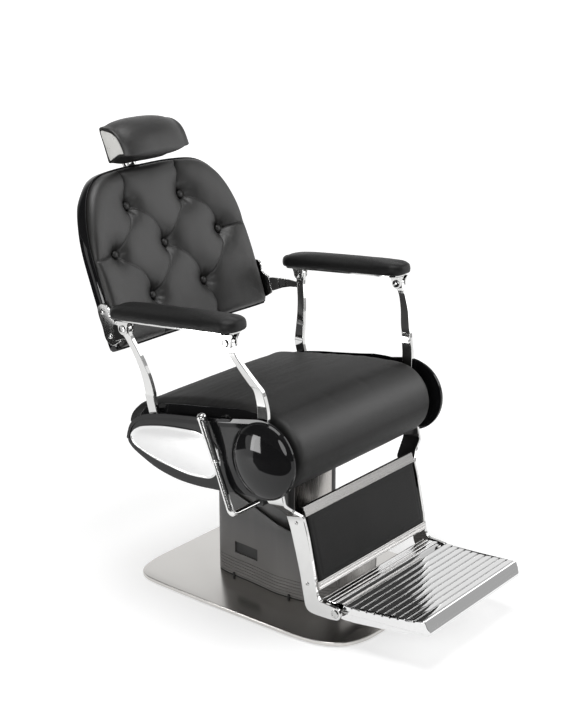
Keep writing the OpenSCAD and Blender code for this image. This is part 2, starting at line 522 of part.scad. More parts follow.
base_plate();
base_mat();
pump_cylinder();
pump_bolts();
pump_gland();
lower_cover();
lower_front_panel();
cover_clips();
pedal_bracket();
pedal_arm();
pedal_pad();
ram();
inner_cover();
inner_front_panel();
swivel_hub();
frame_cross();
frame_side_right();
frame_side_left();
pivot_pins();
shell_right();
shell_left();
dome_right();
dome_left();
side_plate_right();
side_plate_left();
seat_board();
seat_cushion();
lever_bracket();
lock_cylinder();
recline_lever();
lever_sleeve();
lock_rod();
recline_shaft();
rear_post_right();
rear_post_left();
back_bracket_right();
back_bracket_left();
bracket_screws();
back_shell();
back_cushion();
back_buttons();
headrest_guide();
front_post_right();
front_post_left();
arm_plate_right();
arm_plate_left();
arm_pad_right();
arm_pad_left();
arm_bolts_right();
arm_bolts_left();
leg_bar_right();
leg_bar_left();
leg_pad();
leg_trims();
leg_screws();
footrest_plate();
headrest_stem();
headrest_bracket();
headrest_pad();
headrest_plates();
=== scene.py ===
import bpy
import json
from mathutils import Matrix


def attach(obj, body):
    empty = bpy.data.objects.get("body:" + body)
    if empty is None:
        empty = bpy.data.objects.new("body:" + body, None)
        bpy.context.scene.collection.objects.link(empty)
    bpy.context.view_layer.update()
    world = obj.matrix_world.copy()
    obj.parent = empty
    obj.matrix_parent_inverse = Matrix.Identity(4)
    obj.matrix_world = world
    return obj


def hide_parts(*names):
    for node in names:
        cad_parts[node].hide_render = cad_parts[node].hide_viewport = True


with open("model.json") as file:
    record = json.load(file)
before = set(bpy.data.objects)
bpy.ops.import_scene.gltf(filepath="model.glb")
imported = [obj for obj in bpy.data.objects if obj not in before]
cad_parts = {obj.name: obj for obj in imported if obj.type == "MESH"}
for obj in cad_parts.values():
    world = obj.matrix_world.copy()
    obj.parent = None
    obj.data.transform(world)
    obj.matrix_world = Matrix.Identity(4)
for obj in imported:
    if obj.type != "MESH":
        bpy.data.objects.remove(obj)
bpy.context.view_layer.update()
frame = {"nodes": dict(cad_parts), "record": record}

import json
import math
import bpy
import bmesh
import numpy as np
from mathutils import Vector, Matrix, noise, Quaternion

S = 0.001
scene = bpy.context.scene
coll = scene.collection
N = frame["nodes"]


# ------------------------------------------------------------------ curves and outlines
def cr(P, n, closed=False):
    """Catmull-Rom curve through P, n steps a span."""
    P = np.array(P, float)
    k = len(P)
    out = []
    for i in range(k if closed else k - 1):
        if closed:
            a, b, c, d = P[(i - 1) % k], P[i], P[(i + 1) % k], P[(i + 2) % k]
        else:
            a, b, c, d = P[max(i - 1, 0)], P[i], P[i + 1], P[min(i + 2, k - 1)]
        for j in range(n):
            t = j / n
            out.append(0.5 * (2*b + (c - a)*t + (2*a - 5*b + 4*c - d)*t*t + (3*b - a - 3*c + d)*t**3))
    if not closed:
        out.append(P[-1])
    return np.array(out)


def resample(P, n, closed=False):
    """n points at even spacing along P."""
    P = np.array(P, float)
    Q = np.vstack([P, P[:1]]) if closed else P
    L = np.r_[0, np.cumsum(np.linalg.norm(np.diff(Q, axis=0), axis=1))]
    t = np.linspace(0, L[-1], n + 1 if closed else n)
    if closed:
        t = t[:-1]
    return np.stack([np.interp(t, L, Q[:, i]) for i in range(Q.shape[1])], -1)


def area2(P):
    x, y = P[:, 0], P[:, 1]
    return 0.5 * np.sum(x*np.roll(y, -1) - y*np.roll(x, -1))


def normals2(P):
    """Outward unit normals of a closed 2-D outline."""
    T = np.roll(P, -1, 0) - np.roll(P, 1, 0)
    Nn = np.stack([T[:, 1], -T[:, 0]], -1)
    Nn /= np.linalg.norm(Nn, axis=1)[:, None] + 1e-12
    return Nn if area2(P) > 0 else -Nn


def inset2(P, d):
    return P - normals2(P) * d


def arc(c, r, a0, a1, n):
    a = np.radians(np.linspace(a0, a1, n + 1))
    return np.stack([c[0] + r*np.cos(a), c[1] + r*np.sin(a)], -1)


def smoothstep(a, b, x):
    t = np.clip((x - a) / (b - a), 0, 1)
    return t*t*(3 - 2*t)


# ------------------------------------------------------------------ mesh objects
def shade(me, angle=35):
    me.shade_smooth()
    me.set_sharp_from_angle(angle=math.radians(angle))


def add(name, V, F, mat, body, slot, replaces=(), angle=35, mirror=False):
    """A new piece from points in millimetres. mirror makes the other side's twin."""
    V = np.array(V, float) * S
    if mirror:
        V = V * np.array([-1, 1, 1])
    me = bpy.data.meshes.new(name)
    me.from_pydata(V.tolist(), [], [list(map(int, f)) for f in F])
    me.validate()
    bm = bmesh.new()
    bm.from_mesh(me)
    bmesh.ops.remove_doubles(bm, verts=bm.verts, dist=1e-6)
    bmesh.ops.recalc_face_normals(bm, faces=bm.faces)
    bm.to_mesh(me)
    bm.free()
    me.update()
    o = bpy.data.objects.new(name, me)
    coll.objects.link(o)
    me.materials.append(mat)
    shade(me, angle)
    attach(o, body)
    if replaces:
        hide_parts(*replaces)
    return o


def bevel(o, w, seg=2, angle=35, harden=True):
    m = o.modifiers.new("edge", "BEVEL")
    m.width = w * S
    m.segments = seg
    m.limit_method = "ANGLE"
    m.angle_limit = math.radians(angle)
    m.harden_normals = harden
    m.use_clamp_overlap = True
    m.miter_outer = "MITER_ARC"
    return o


def ev(x):
    """Apply an object's modifiers to its mesh."""
    bpy.context.view_layer.update()
    dg = bpy.context.evaluated_depsgraph_get()
    me = bpy.data.meshes.new_from_object(x.evaluated_get(dg), preserve_all_data_layers=True, depsgraph=dg)
    x.modifiers.clear()
    old = x.data
    x.data = me
    bpy.data.meshes.remove(old)
    return x


def rings(R, closed_u=True, cap0=True, cap1=True, loop=False):
    """Faces that join rings of points, all with the same count. loop joins the last ring to the first."""
    n = len(R[0])
    V = np.vstack(R)
    F = []
    k = len(R)
    for i in range(k if loop else k - 1):
        a, b = i * n, ((i + 1) % k) * n
        for j in range(n if closed_u else n - 1):
            j2 = (j + 1) % n
            F.append([a + j, a + j2, b + j2, b + j])
    if not loop:
        if cap0:
            F.append(list(range(n))[::-1])
        if cap1:
            F.append([(k - 1)*n + j for j in range(n)])
    return V, F


def prism(P, f, lo, hi):
    """Flat outline P (2-D) extruded; f maps (a, b, h) arrays to points."""
    P = np.array(P, float)
    return rings([f(P[:, 0], P[:, 1], lo), f(P[:, 0], P[:, 1], hi)])


def yz(y, z, x):
    return np.stack([np.full_like(y, x), y, z], -1)


def xyp(x, y, z):
    return np.stack([x, y, np.full_like(x, z)], -1)


def lathe(prof, c, axis, n=48, ref=(0, 0, 1)):
    """Turned piece. prof is (radius, height) along axis from c. It closes at radius 0."""
    a = Vector(axis).normalized()
    u = a.cross(Vector(ref))
    if u.length < 1e-3:
        u = a.cross(Vector((1, 0, 0)))
    u.normalize()
    v = a.cross(u)
    a, u, v, c = np.array(a), np.array(u), np.array(v), np.array(c, float)
    t = np.linspace(0, 2*math.pi, n, endpoint=False)
    R = []
    for r, h in prof:
        r = max(r, 1e-4)
        R.append(c + h*a + r*(np.cos(t)[:, None]*u + np.sin(t)[:, None]*v))
    return rings(R)


def tube(P, r, n=24, cap="round"):
    """Round bar along the points P with radii r (number or list)."""
    P = np.array(P, float)
    k = len(P)
    r = np.full(k, r, float) if np.isscalar(r) else np.array(r, float)
    T = np.gradient(P, axis=0)
    T /= np.linalg.norm(T, axis=1)[:, None]
    u = np.cross(T[0], [0.3, 0.2, 0.9])
    u /= np.linalg.norm(u)
    R = []
    t = np.linspace(0, 2*math.pi, n, endpoint=False)
    for i in range(k):
        u = u - T[i]*(u @ T[i])
        u /= np.linalg.norm(u)
        v = np.cross(T[i], u)
        R.append(P[i] + r[i]*(np.cos(t)[:, None]*u + np.sin(t)[:, None]*v))
    return rings(R)


def merge(*parts):
    V, F, k = [], [], 0
    for v, f in parts:
        V.append(np.array(v, float))
        F += [[i + k for i in q] for q in f]
        k += len(v)
    return np.vstack(V), F


def ribbon(L, R, xf, t, start=None, end=None):
    """Flat bar between two edge lines L and R in (y, z), of equal count. Its middle lies at x = xf(z) and its thickness is t.
    start and end are the points of the rounded ends, between L[0] and R[0] and between L[-1] and R[-1]."""
    L, R = np.array(L, float), np.array(R, float)
    n = len(L)
    S0 = np.array(start, float) if start is not None else np.zeros((0, 2))
    E0 = np.array(end, float) if end is not None else np.zeros((0, 2))
    P = np.vstack([L, R, S0, E0])
    def side(s):
        x = np.array([xf(z) for z in P[:, 1]])
        dz = 0.5
        slope = np.array([(xf(z + dz) - xf(z - dz)) / (2*dz) for z in P[:, 1]])
        k = np.sqrt(1 + slope**2)
        return np.stack([x + s*t/2*np.minimum(k, 1.25), P[:, 0], P[:, 1]], -1)
    V = np.vstack([side(1), side(-1)])
    m = len(P)
    iL, iR = list(range(n)), list(range(n, 2*n))
    iS, iE = list(range(2*n, 2*n + len(S0))), list(range(2*n + len(S0), m))
    F = []
    for i in range(n - 1):
        q = [iL[i], iL[i+1], iR[i+1], iR[i]]
        F.append(q)
        F.append([k + m for k in q[::-1]])
    if len(iS):
        q = [iL[0]] + iS + [iR[0]]
        F.append(q[::-1]); F.append([k + m for k in q])
    if len(iE):
        q = [iL[-1]] + iE + [iR[-1]]
        F.append(q); F.append([k + m for k in q[::-1]])
    loop = iL + iE + iR[::-1] + iS[::-1]
    for a, b in zip(loop, loop[1:] + loop[:1]):
        F.append([a, b, b + m, a + m])
    return V, F


# ------------------------------------------------------------------ materials
def new_mat(name):
    m = bpy.data.materials.new(name)
    m.use_nodes = True
    nt = m.node_tree
    b = nt.nodes["Principled BSDF"]
    return m, nt, b


def nd(nt, kind, **kw):
    n = nt.nodes.new(kind)
    for k, v in kw.items():
        if k.startswith("i_"):
            n.inputs[k[2:].replace("_", " ")].default_value = v
        else:
            setattr(n, k, v)
    return n


def coords(nt, scale=(1, 1, 1), rot=(0, 0, 0)):
    tc = nt.nodes.new("ShaderNodeTexCoord")
    mp = nt.nodes.new("ShaderNodeMapping")
    mp.inputs["Scale"].default_value = scale
    mp.inputs["Rotation"].default_value = rot
    nt.links.new(tc.outputs["Object"], mp.inputs["Vector"])
    return mp.outputs["Vector"]


def ramp(nt, fac, stops):
    r = nt.nodes.new("ShaderNodeValToRGB")
    el = r.color_ramp.elements
    while len(el) < len(stops):
        el.new(0.5)
    for e, (p, c) in zip(el, stops):
        e.position = p
        e.color = c if len(c) == 4 else (*c, 1)
    nt.links.new(fac, r.inputs["Fac"])
    return r.outputs["Color"]


def maprange(nt, fac, a, b, lo, hi):
    r = nt.nodes.new("ShaderNodeMapRange")
    r.inputs["From Min"].default_value = a
    r.inputs["From Max"].default_value = b
    r.inputs["To Min"].default_value = lo
    r.inputs["To Max"].default_value = hi
    nt.links.new(fac, r.inputs["Value"])
    return r.outputs["Result"]


def noise_tex(nt, vec, scale, detail=4, rough=0.5, distort=0.0):
    n = nt.nodes.new("ShaderNodeTexNoise")
    n.inputs["Scale"].default_value = scale
    n.inputs["Detail"].default_value = detail
    n.inputs["Roughness"].default_value = rough
    n.inputs["Distortion"].default_value = distort
    nt.links.new(vec, n.inputs["Vector"])
    return n.outputs["Fac"]


def voronoi(nt, vec, scale, feature="F1", rnd=1.0):
    n = nt.nodes.new("ShaderNodeTexVoronoi")
    n.feature = feature
    n.inputs["Scale"].default_value = scale
    n.inputs["Randomness"].default_value = rnd
    nt.links.new(vec, n.inputs["Vector"])
    return n.outputs["Distance"]


def bump(nt, height, dist, strength=1.0, prev=None):
    b = nt.nodes.new("ShaderNodeBump")
    b.inputs["Distance"].default_value = dist
    b.inputs["Strength"].default_value = strength
    nt.links.new(height, b.inputs["Height"])
    if prev is not None:
        nt.links.new(prev, b.inputs["Normal"])
    return b.outputs["Normal"]


def leather(name, dark, light, rough=(0.40, 0.52), grain=1.0, wrinkle=1.0, stretch=(1, 1, 1), spec=0.3):
    m, nt, b = new_mat(name)
    v = coords(nt)
    vw = coords(nt, stretch)
    big = noise_tex(nt, v, 7, 3)
    fine = noise_tex(nt, v, 420, 4)
    peb = voronoi(nt, v, 620, "DISTANCE_TO_EDGE")
    wr = noise_tex(nt, vw, 26, 7, 0.62, 0.9)
    nt.links.new(ramp(nt, big, [(0.3, dark), (0.72, light)]), b.inputs["Base Color"])
    nt.links.new(maprange(nt, fine, 0.3, 0.75, *rough), b.inputs["Roughness"])
    n1 = bump(nt, wr, 0.0016, 0.28*wrinkle)
    pm = maprange(nt, peb, 0.0, 0.22, 0.0, 1.0)
    n2 = bump(nt, pm, 0.00022, 0.42*grain, n1)
    n3 = bump(nt, fine, 0.00016, 0.35*grain, n2)
    nt.links.new(n3, b.inputs["Normal"])
    b.inputs["Specular IOR Level"].default_value = spec
    return m


def chrome(name, base=0.86, rough=(0.045, 0.10), tint=(1, 1, 0.99)):
    m, nt, b = new_mat(name)
    v = coords(nt)
    n = noise_tex(nt, v, 35, 5)
    sc = noise_tex(nt, coords(nt, (300, 300, 14)), 3, 3)
    c0 = tuple(base*0.965*t for t in tint)
    c1 = tuple(base*t for t in tint)
    nt.links.new(ramp(nt, n, [(0.3, c0), (0.7, c1)]), b.inputs["Base Color"])
    nt.links.new(maprange(nt, sc, 0.35, 0.75, *rough), b.inputs["Roughness"])
    nt.links.new(bump(nt, noise_tex(nt, v, 9, 2), 0.0006, 0.05), b.inputs["Normal"])
    b.inputs["Metallic"].default_value = 1.0
    return m


def brushed(name, c0, c1, rough=(0.26, 0.4), scale=(4, 4, 900), axis_bump=0.12, metal=1.0):
    m, nt, b = new_mat(name)
    st = noise_tex(nt, coords(nt, scale), 1.0, 5, 0.65)
    cl = noise_tex(nt, coords(nt), 5, 3)
    mix = nt.nodes.new("ShaderNodeMix")
    mix.data_type = "FLOAT"
    mix.inputs[0].default_value = 0.35
    nt.links.new(st, mix.inputs[2]); nt.links.new(cl, mix.inputs[3])
    nt.links.new(ramp(nt, mix.outputs[0], [(0.3, c0), (0.7, c1)]), b.inputs["Base Color"])
    nt.links.new(maprange(nt, st, 0.3, 0.7, *rough), b.inputs["Roughness"])
    nt.links.new(bump(nt, st, 0.00008, axis_bump), b.inputs["Normal"])
    b.inputs["Metallic"].default_value = metal
    return m


def gloss(name, c0=(0.004, 0.004, 0.0044), c1=(0.007, 0.007, 0.0074), rough=(0.03, 0.07)):
    m, nt, b = new_mat(name)
    v = coords(nt)
    n = noise_tex(nt, v, 6, 3)
    dust = noise_tex(nt, v, 160, 5, 0.7)
    nt.links.new(ramp(nt, n, [(0.3, c0), (0.7, c1)]), b.inputs["Base Color"])
    nt.links.new(maprange(nt, dust, 0.4, 0.8, *rough), b.inputs["Roughness"])
    nt.links.new(bump(nt, noise_tex(nt, v, 45, 2), 0.00025, 0.06), b.inputs["Normal"])
    b.inputs["Specular IOR Level"].default_value = 0.34
    return m


def satin(name, c0, c1, rough=(0.3, 0.42), stretch=(220, 220, 3), metal=0.0, spec=0.5, b_amt=0.1):
    m, nt, b = new_mat(name)
    st = noise_tex(nt, coords(nt, stretch), 1.0, 4, 0.6)
    gr = noise_tex(nt, coords(nt), 500, 3)
    nt.links.new(ramp(nt, st, [(0.3, c0), (0.7, c1)]), b.inputs["Base Color"])
    nt.links.new(maprange(nt, st, 0.3, 0.7, *rough), b.inputs["Roughness"])
    nt.links.new(bump(nt, gr, 0.0001, b_amt), b.inputs["Normal"])
    b.inputs["Metallic"].default_value = metal
    b.inputs["Specular IOR Level"].default_value = spec
    return m


def rubber(name, c0=(0.018, 0.018, 0.018), c1=(0.035, 0.035, 0.035)):
    m, nt, b = new_mat(name)
    v = coords(nt)
    g = noise_tex(nt, v, 300, 4)
    nt.links.new(ramp(nt, noise_tex(nt, v, 18, 4), [(0.3, c0), (0.75, c1)]), b.inputs["Base Color"])
    nt.links.new(maprange(nt, g, 0.3, 0.7, 0.62, 0.82), b.inputs["Roughness"])
    nt.links.new(bump(nt, g, 0.0002, 0.4), b.inputs["Normal"])
    return m


def plywood(name):
    m, nt, b = new_mat(name)
    g = noise_tex(nt, coords(nt, (6, 90, 300)), 1.0, 5, 0.6, 0.4)
    nt.links.new(ramp(nt, g, [(0.3, (0.30, 0.19, 0.095)), (0.7, (0.48, 0.34, 0.19))]), b.inputs["Base Color"])
    nt.links.new(maprange(nt, g, 0.3, 0.7, 0.5, 0.7), b.inputs["Roughness"])
    nt.links.new(bump(nt, g, 0.0003, 0.3), b.inputs["Normal"])
    return m


M_SEAT = leather("leather_seat", (0.0085, 0.0084, 0.0082), (0.013, 0.0128, 0.0125), (0.50, 0.62), 1.0, 1.0, (1, 1, 1), 0.20)
M_BACK = leather("leather_back", (0.011, 0.0106, 0.0102), (0.016, 0.0155, 0.015), (0.37, 0.46), 1.0, 0.9, (1, 1, 1), 0.62)
M_HEAD = leather("leather_head", (0.010, 0.0097, 0.0095), (0.015, 0.0145, 0.014), (0.37, 0.46), 1.0, 0.7, (1, 1, 1), 0.58)
M_ARM = leather("leather_arm", (0.006, 0.006, 0.006), (0.0095, 0.0094, 0.0093), (0.42, 0.52), 0.9, 0.5, (1, 1, 1), 0.25)
M_LEG = leather("leather_leg", (0.010, 0.0099, 0.0098), (0.014, 0.0138, 0.0136), (0.50, 0.60), 0.9, 0.3, (1, 1, 1), 0.20)
M_BUTTON = leather("leather_button", (0.016, 0.0155, 0.015), (0.024, 0.0235, 0.023), (0.34, 0.44), 0.6, 0.2, (1, 1, 1), 0.4)
M_CHROME = chrome("chrome", 0.63, (0.035, 0.08))
M_LEVER = chrome("chrome_lever", 0.74, (0.15, 0.22))
M_CHROME2 = chrome("chrome_small", 0.52, (0.06, 0.14))
M_PLATE = chrome("chrome_plate", 0.65, (0.07, 0.11), (1, 1, 1))
M_PLATE2 = satin("satin_plate", (0.66, 0.655, 0.63), (0.76, 0.755, 0.73), (0.26, 0.36), (30, 30, 30), 0.45, 0.5, 0.03)
M_BLACK = gloss("gloss_black")
M_COVER = satin("satin_cover", (0.046, 0.0455, 0.045), (0.064, 0.063, 0.062), (0.34, 0.46), (30, 30, 2.5), 0.0, 0.5, 0.03)
# painted reflection: below 0.16 m the covers' colour is mixed towards a light grey, strongest at the foot, painted in
# for the light of the base plate and floor they face
for nt in (M_COVER.node_tree,):
    bs = [q for q in nt.nodes if q.type == "BSDF_PRINCIPLED"][0]
    src = bs.inputs["Base Color"].links[0].from_socket
    sp = nt.nodes.new("ShaderNodeSeparateXYZ")
    nt.links.new(coords(nt), sp.inputs[0])
    painted_floor_light_mix = nt.nodes.new("ShaderNodeMix")
    painted_floor_light_mix.data_type = "RGBA"
    nt.links.new(maprange(nt, sp.outputs["Z"], 0.02, 0.16, 1.0, 0.0), painted_floor_light_mix.inputs[0])
    nt.links.new(src, painted_floor_light_mix.inputs[6])
    painted_floor_light_mix.inputs[7].default_value = (0.17, 0.163, 0.156, 1)
    nt.links.new(painted_floor_light_mix.outputs[2], bs.inputs["Base Color"])
# a glossier band over the front roll, tuned to the highlight in the photo; whether the real hide is glossier there is not known
for nt in (M_SEAT.node_tree,):
    bs = [q for q in nt.nodes if q.type == "BSDF_PRINCIPLED"][0]
    dv = nt.nodes.new("ShaderNodeVectorMath")
    dv.operation = "DISTANCE"
    nt.links.new(coords(nt, (0, 1, 1)), dv.inputs[0])
    dv.inputs[1].default_value = (0, -0.189, 0.456)
    nt.links.new(ramp(nt, dv.outputs["Value"], [(0.012, (0.95, 0.95, 0.95)), (0.03, (0.6, 0.6, 0.6)), (0.062, (0.2, 0.2, 0.2))]), bs.inputs["Specular IOR Level"])
M_BASE = brushed("satin_steel_base", (0.58, 0.565, 0.545), (0.68, 0.665, 0.645), (0.16, 0.25), (3, 700, 3), 0.04)
M_FRONT = brushed("dark_steel_front", (0.24, 0.235, 0.23), (0.34, 0.335, 0.33), (0.24, 0.38), (700, 700, 3), 0.12)
M_INNER = brushed("steel_inner", (0.36, 0.345, 0.33), (0.50, 0.48, 0.46), (0.20, 0.32), (700, 700, 3), 0.10)
M_TRIM = brushed("satin_trim", (0.50, 0.49, 0.48), (0.60, 0.59, 0.58), (0.14, 0.22), (3, 600, 600), 0.06)
M_ALU = brushed("polished_aluminium", (0.70, 0.70, 0.70), (0.76, 0.76, 0.76), (0.035, 0.07), (4, 200, 200), 0.003)
# slot blank: a darker satin than the cover, partly painted shade for the recess it sits in
M_BLANK = satin("slot_blank", (0.024, 0.024, 0.0235), (0.036, 0.0355, 0.035), (0.40, 0.52), (30, 30, 2.5), 0.0, 0.35, 0.03)
M_FRAME = satin("frame_paint", (0.018, 0.018, 0.019), (0.028, 0.028, 0.029), (0.38, 0.55), (60, 60, 60))
M_PUMP = satin("pump_paint", (0.05, 0.052, 0.056), (0.08, 0.082, 0.086), (0.35, 0.5), (50, 50, 50))
M_ZINC = brushed("zinc", (0.40, 0.40, 0.42), (0.55, 0.55, 0.57), (0.28, 0.42), (40, 40, 40), 0.2)
M_RUBBER = rubber("rubber")
M_PLY = plywood("plywood")

SLOT_MAT = {
    "base_steel": M_BASE, "foot_rubber": M_RUBBER, "pump_paint": M_PUMP, "zinc": M_ZINC, "seal_rubber": M_RUBBER,
    "cover_black": M_COVER, "front_steel": M_FRONT, "inner_steel": M_INNER, "ram_chrome": M_CHROME, "chrome": M_CHROME,
    "pedal_rubber": M_RUBBER, "frame_black": M_FRAME, "shell_black": M_BLACK, "ply": M_PLY, "leather": M_SEAT,
    "footrest_alu": M_ALU, "trim_satin": M_TRIM,
}
# ------------------------------------------------------------------ simulated padding
def puff(o, voxel, pressure, cap, pin, frames=20, tension=15, mass=0.3, smooth=3, sub=1):
    """Swells a closed mesh as a stuffed cover. pin takes the points (mm) and says which stay."""
    m = o.modifiers.new("remesh", "REMESH")
    m.mode = "VOXEL"
    m.voxel_size = voxel * S
    m.adaptivity = 0
    ev(o)
    me = o.data
    n = len(me.vertices)
    rest = np.zeros(n*3)
    me.vertices.foreach_get("co", rest)
    rest = rest.reshape(-1, 3)
    held = np.nonzero(pin(rest / S))[0]
    vg = o.vertex_groups.new(name="pin")
    vg.add([int(i) for i in held], 1.0, "REPLACE")
    c = o.modifiers.new("cloth", "CLOTH")
    st = c.settings
    st.quality = 4
    st.mass = mass
    st.tension_stiffness = st.compression_stiffness = tension
    st.shear_stiffness = 5
    st.bending_stiffness = 0.6
    st.air_damping = 1.5
    st.use_pressure = True
    st.uniform_pressure_force = pressure
    st.vertex_group_mass = "pin"
    st.effector_weights.gravity = 0
    c.collision_settings.use_collision = False
    c.point_cache.frame_start = 1
    c.point_cache.frame_end = frames
    for f in range(1, frames + 1):
        scene.frame_set(f)
    dg = bpy.context.evaluated_depsgraph_get()
    e = o.evaluated_get(dg)
    co = np.zeros(n*3)
    e.data.vertices.foreach_get("co", co)
    co = co.reshape(-1, 3)
    o.modifiers.clear()
    scene.frame_set(1)
    d = co - rest
    L = np.linalg.norm(d, axis=1)
    lim = cap * S
    k = np.where(L > 1e-9, lim*np.tanh(L/lim)/np.maximum(L, 1e-9), 0)
    new = rest + d*k[:, None]
    me.vertices.foreach_set("co", new.ravel())
    me.update()
    if smooth:
        sm = o.modifiers.new("smooth", "SMOOTH")
        sm.factor = 0.5
        sm.iterations = smooth
    if sub:
        ss = o.modifiers.new("sub", "SUBSURF")
        ss.levels = ss.render_levels = sub
    ev(o)
    for p in o.data.polygons:
        p.use_smooth = True
    o.vertex_groups.clear()
    return o


def displace(o, fn):
    """Moves points along their normals by fn(points in mm, normals), in mm."""
    me = o.data
    n = len(me.vertices)
    co = np.zeros(n*3)
    no = np.zeros(n*3)
    me.vertices.foreach_get("co", co)
    me.vertex_normals.foreach_get("vector", no)
    co, no = co.reshape(-1, 3), no.reshape(-1, 3)
    co = co + no * (fn(co / S, no) * S)[:, None]
    me.vertices.foreach_set("co", co.ravel())
    me.update()
    return o


def nz(P, scale, seed=0.0):
    """Smooth noise at points (mm), in -1..1, with feature size scale mm (number or 3 numbers)."""
    s = np.array([scale]*3 if np.isscalar(scale) else scale, float)
    Q = P / s + seed
    return np.array([noise.noise(Vector(q)) for q in Q])


# ------------------------------------------------------------------ shared dimensions (mm)
PF, PR, BF, BR, LR, FR, LEV = (-118, 396), (161, 374), (-65, 637), (214, 615), (-135, 337), (-262, 76), (-57, 265)
LEV_X = 282.0
ca, sa = math.cos(math.radians(20.3)), math.sin(math.radians(20.3))


def back_pt(u, v, w):
    """Back's own frame to the row frame: u across, v up the back, w forward of its reference surface plane."""
    u, v, w = np.broadcast_arrays(np.array(u, float), np.array(v, float), np.array(w, float))
    y = -w
    return np.stack([u, 331 + y*ca + v*sa, 626 - y*sa + v*ca], -1)


aa, sb = math.cos(math.radians(4.5)), math.sin(math.radians(4.5))


def arm_pt(x, y, z):
    x, y, z = np.broadcast_arrays(np.array(x, float), np.array(y, float), np.array(z, float))
    return np.stack([x, 214 + y*aa + z*sb, 615 - y*sb + z*aa], -1)


SIDES = (("left", False), ("right", True))

# ------------------------------------------------------------------ base plate
base_side = cr([[0, -304], [90, -304], [150, -299], [195, -278], [219, -240], [229, -190], [231, -120],
    [229, 0], [226, 120], [222, 215], [214, 262], [190, 289], [140, 302], [80, 304], [0, 304]], 10)
base_loop = np.vstack([base_side, (base_side * [-1, 1])[::-1][1:-1]]) * [229/231, 1]
base_loop = resample(base_loop, 240, True)
R = []
for d, z in ((2.2, 3.05), (0.5, 3.4), (0, 4.2), (0, 10.6), (0.35, 11.35), (1.1, 11.85), (2.2, 12.0)):
    R.append(xyp(*inset2(base_loop, d).T, z))
V, F = rings(R)
o = add("base_plate_body", V, F, M_BASE, "base", "base_steel", ["base_plate"], 30)

# ------------------------------------------------------------------ column covers
cov_h = [[0, 170], [45, 167], [70, 160], [85, 145], [92, 102], [97, 45], [105, -20], [105, -45], [100, -92],
    [91, -125], [81, -152], [72, -168], [66, -172], [0, -172]]
icov_h = [[0, 152], [45, 151], [66, 146], [76, 134], [84, 100], [89, 45], [93, 0], [92, -28], [88, -44], [82, -49], [66, -49.5], [0, -49.5]]


def half_loop(h, n, count):
    c = cr(h, n)
    return resample(np.vstack([c, (c * [-1, 1])[::-1][1:-1]]), count, True)


def sc_loop(L, s, c):
    return np.stack([L[:, 0]*s, (L[:, 1] - c)*s + c], -1)


cl = half_loop(cov_h, 10, 260)
inn = sc_loop(cl, 0.962, -6)
ztop = lambda L: 132 + (L[:, 1] + 200)*0.27
R = []
zs = [(13.8, 0.5), (14.3, 0)]
for i in range(6):
    z0 = 17 + 7.4*i
    zs += [(z0 - 0.3, 0), (z0, 0.35), (z0 + 0.15, 1.3), (z0 + 1.85, 1.3), (z0 + 2.0, 0.35), (z0 + 2.3, 0)]
for z, d in zs:
    R.append(xyp(*inset2(cl, d).T, z))
zb = 62.0
for k in range(1, 9):
    t = k/8
    zt = ztop(cl) - 1.2
    R.append(np.stack([cl[:, 0], cl[:, 1], zb + (zt - zb)*t], -1))
R.append(np.stack([*inset2(cl, 0.4).T, ztop(cl) - 0.3], -1))
R.append(np.stack([*inset2(cl, 1.2).T, ztop(cl)], -1))
R.append(np.stack([*sc_loop(cl, 0.97, -6).T, ztop(cl)], -1))
R.append(np.stack([*inn.T, ztop(cl) - 0.8], -1))
for k in range(7, -1, -1):
    R.append(np.stack([*inn.T, 14 + (ztop(cl) - 2 - 14)*k/8], -1))
R.append(xyp(*inn.T, 13.8))
V, F = rings(R, loop=True)
o = add("lower_cover_body", V, F, M_COVER, "base", "cover_black", ["lower_cover"], 32)


def cut(o, boxes):
    """Cuts boxes (lo, hi in mm) out of a piece."""
    for lo, hi in boxes:
        bm = bmesh.new()
        bmesh.ops.create_cube(bm, size=1.0)
        me = bpy.data.meshes.new("cutter")
        bm.to_mesh(me); bm.free()
        c = bpy.data.objects.new("cutter", me)
        coll.objects.link(c)
        lo, hi = Vector(lo)*S, Vector(hi)*S
        me.transform(Matrix.Translation((lo + hi)/2) @ Matrix.Diagonal((*(hi - lo), 1)))
        m = o.modifiers.new("cut", "BOOLEAN")
        m.operation = "DIFFERENCE"
        m.object = c
        m.solver = "EXACT"
        ev(o)
        bpy.data.objects.remove(c)
        bpy.data.meshes.remove(me)
    shade(o.data, 32)


cut(o, [((60, 27, 64), (140, 93, 102)), ((-140, 28, 70), (-86, 98, 97)), ((-66, -174, 11), (66, -169, 161))])
# blank behind the slot on the occupant's right, darker than the cover round it, partly painted shade for the recess;
# and the seal the cover stands on
sq = [(-94.6, 25), (-91.8, 60), (-88.2, 101), (-86.4, 101), (-90.0, 60), (-92.8, 25)]
Vb = [(x_, y_, z_) for z_ in (67.0, 100.0) for x_, y_ in sq]
Fb = [list(range(5, -1, -1)), list(range(6, 12))] + [[k, (k + 1) % 6, (k + 1) % 6 + 6, k + 6] for k in range(6)]
add("cover_slot_blank", Vb, Fb, M_BLANK, "base", "cover_black", (), 30)
g1, g2 = inset2(cl, 1.0), inset2(cl, 3.0)
V, F = rings([xyp(*g1.T, 12.05), xyp(*g1.T, 14.0), xyp(*g2.T, 14.0), xyp(*g2.T, 12.05)], loop=True)
add("cover_seal", V, F, M_RUBBER, "base", "seal_rubber", (), 30)

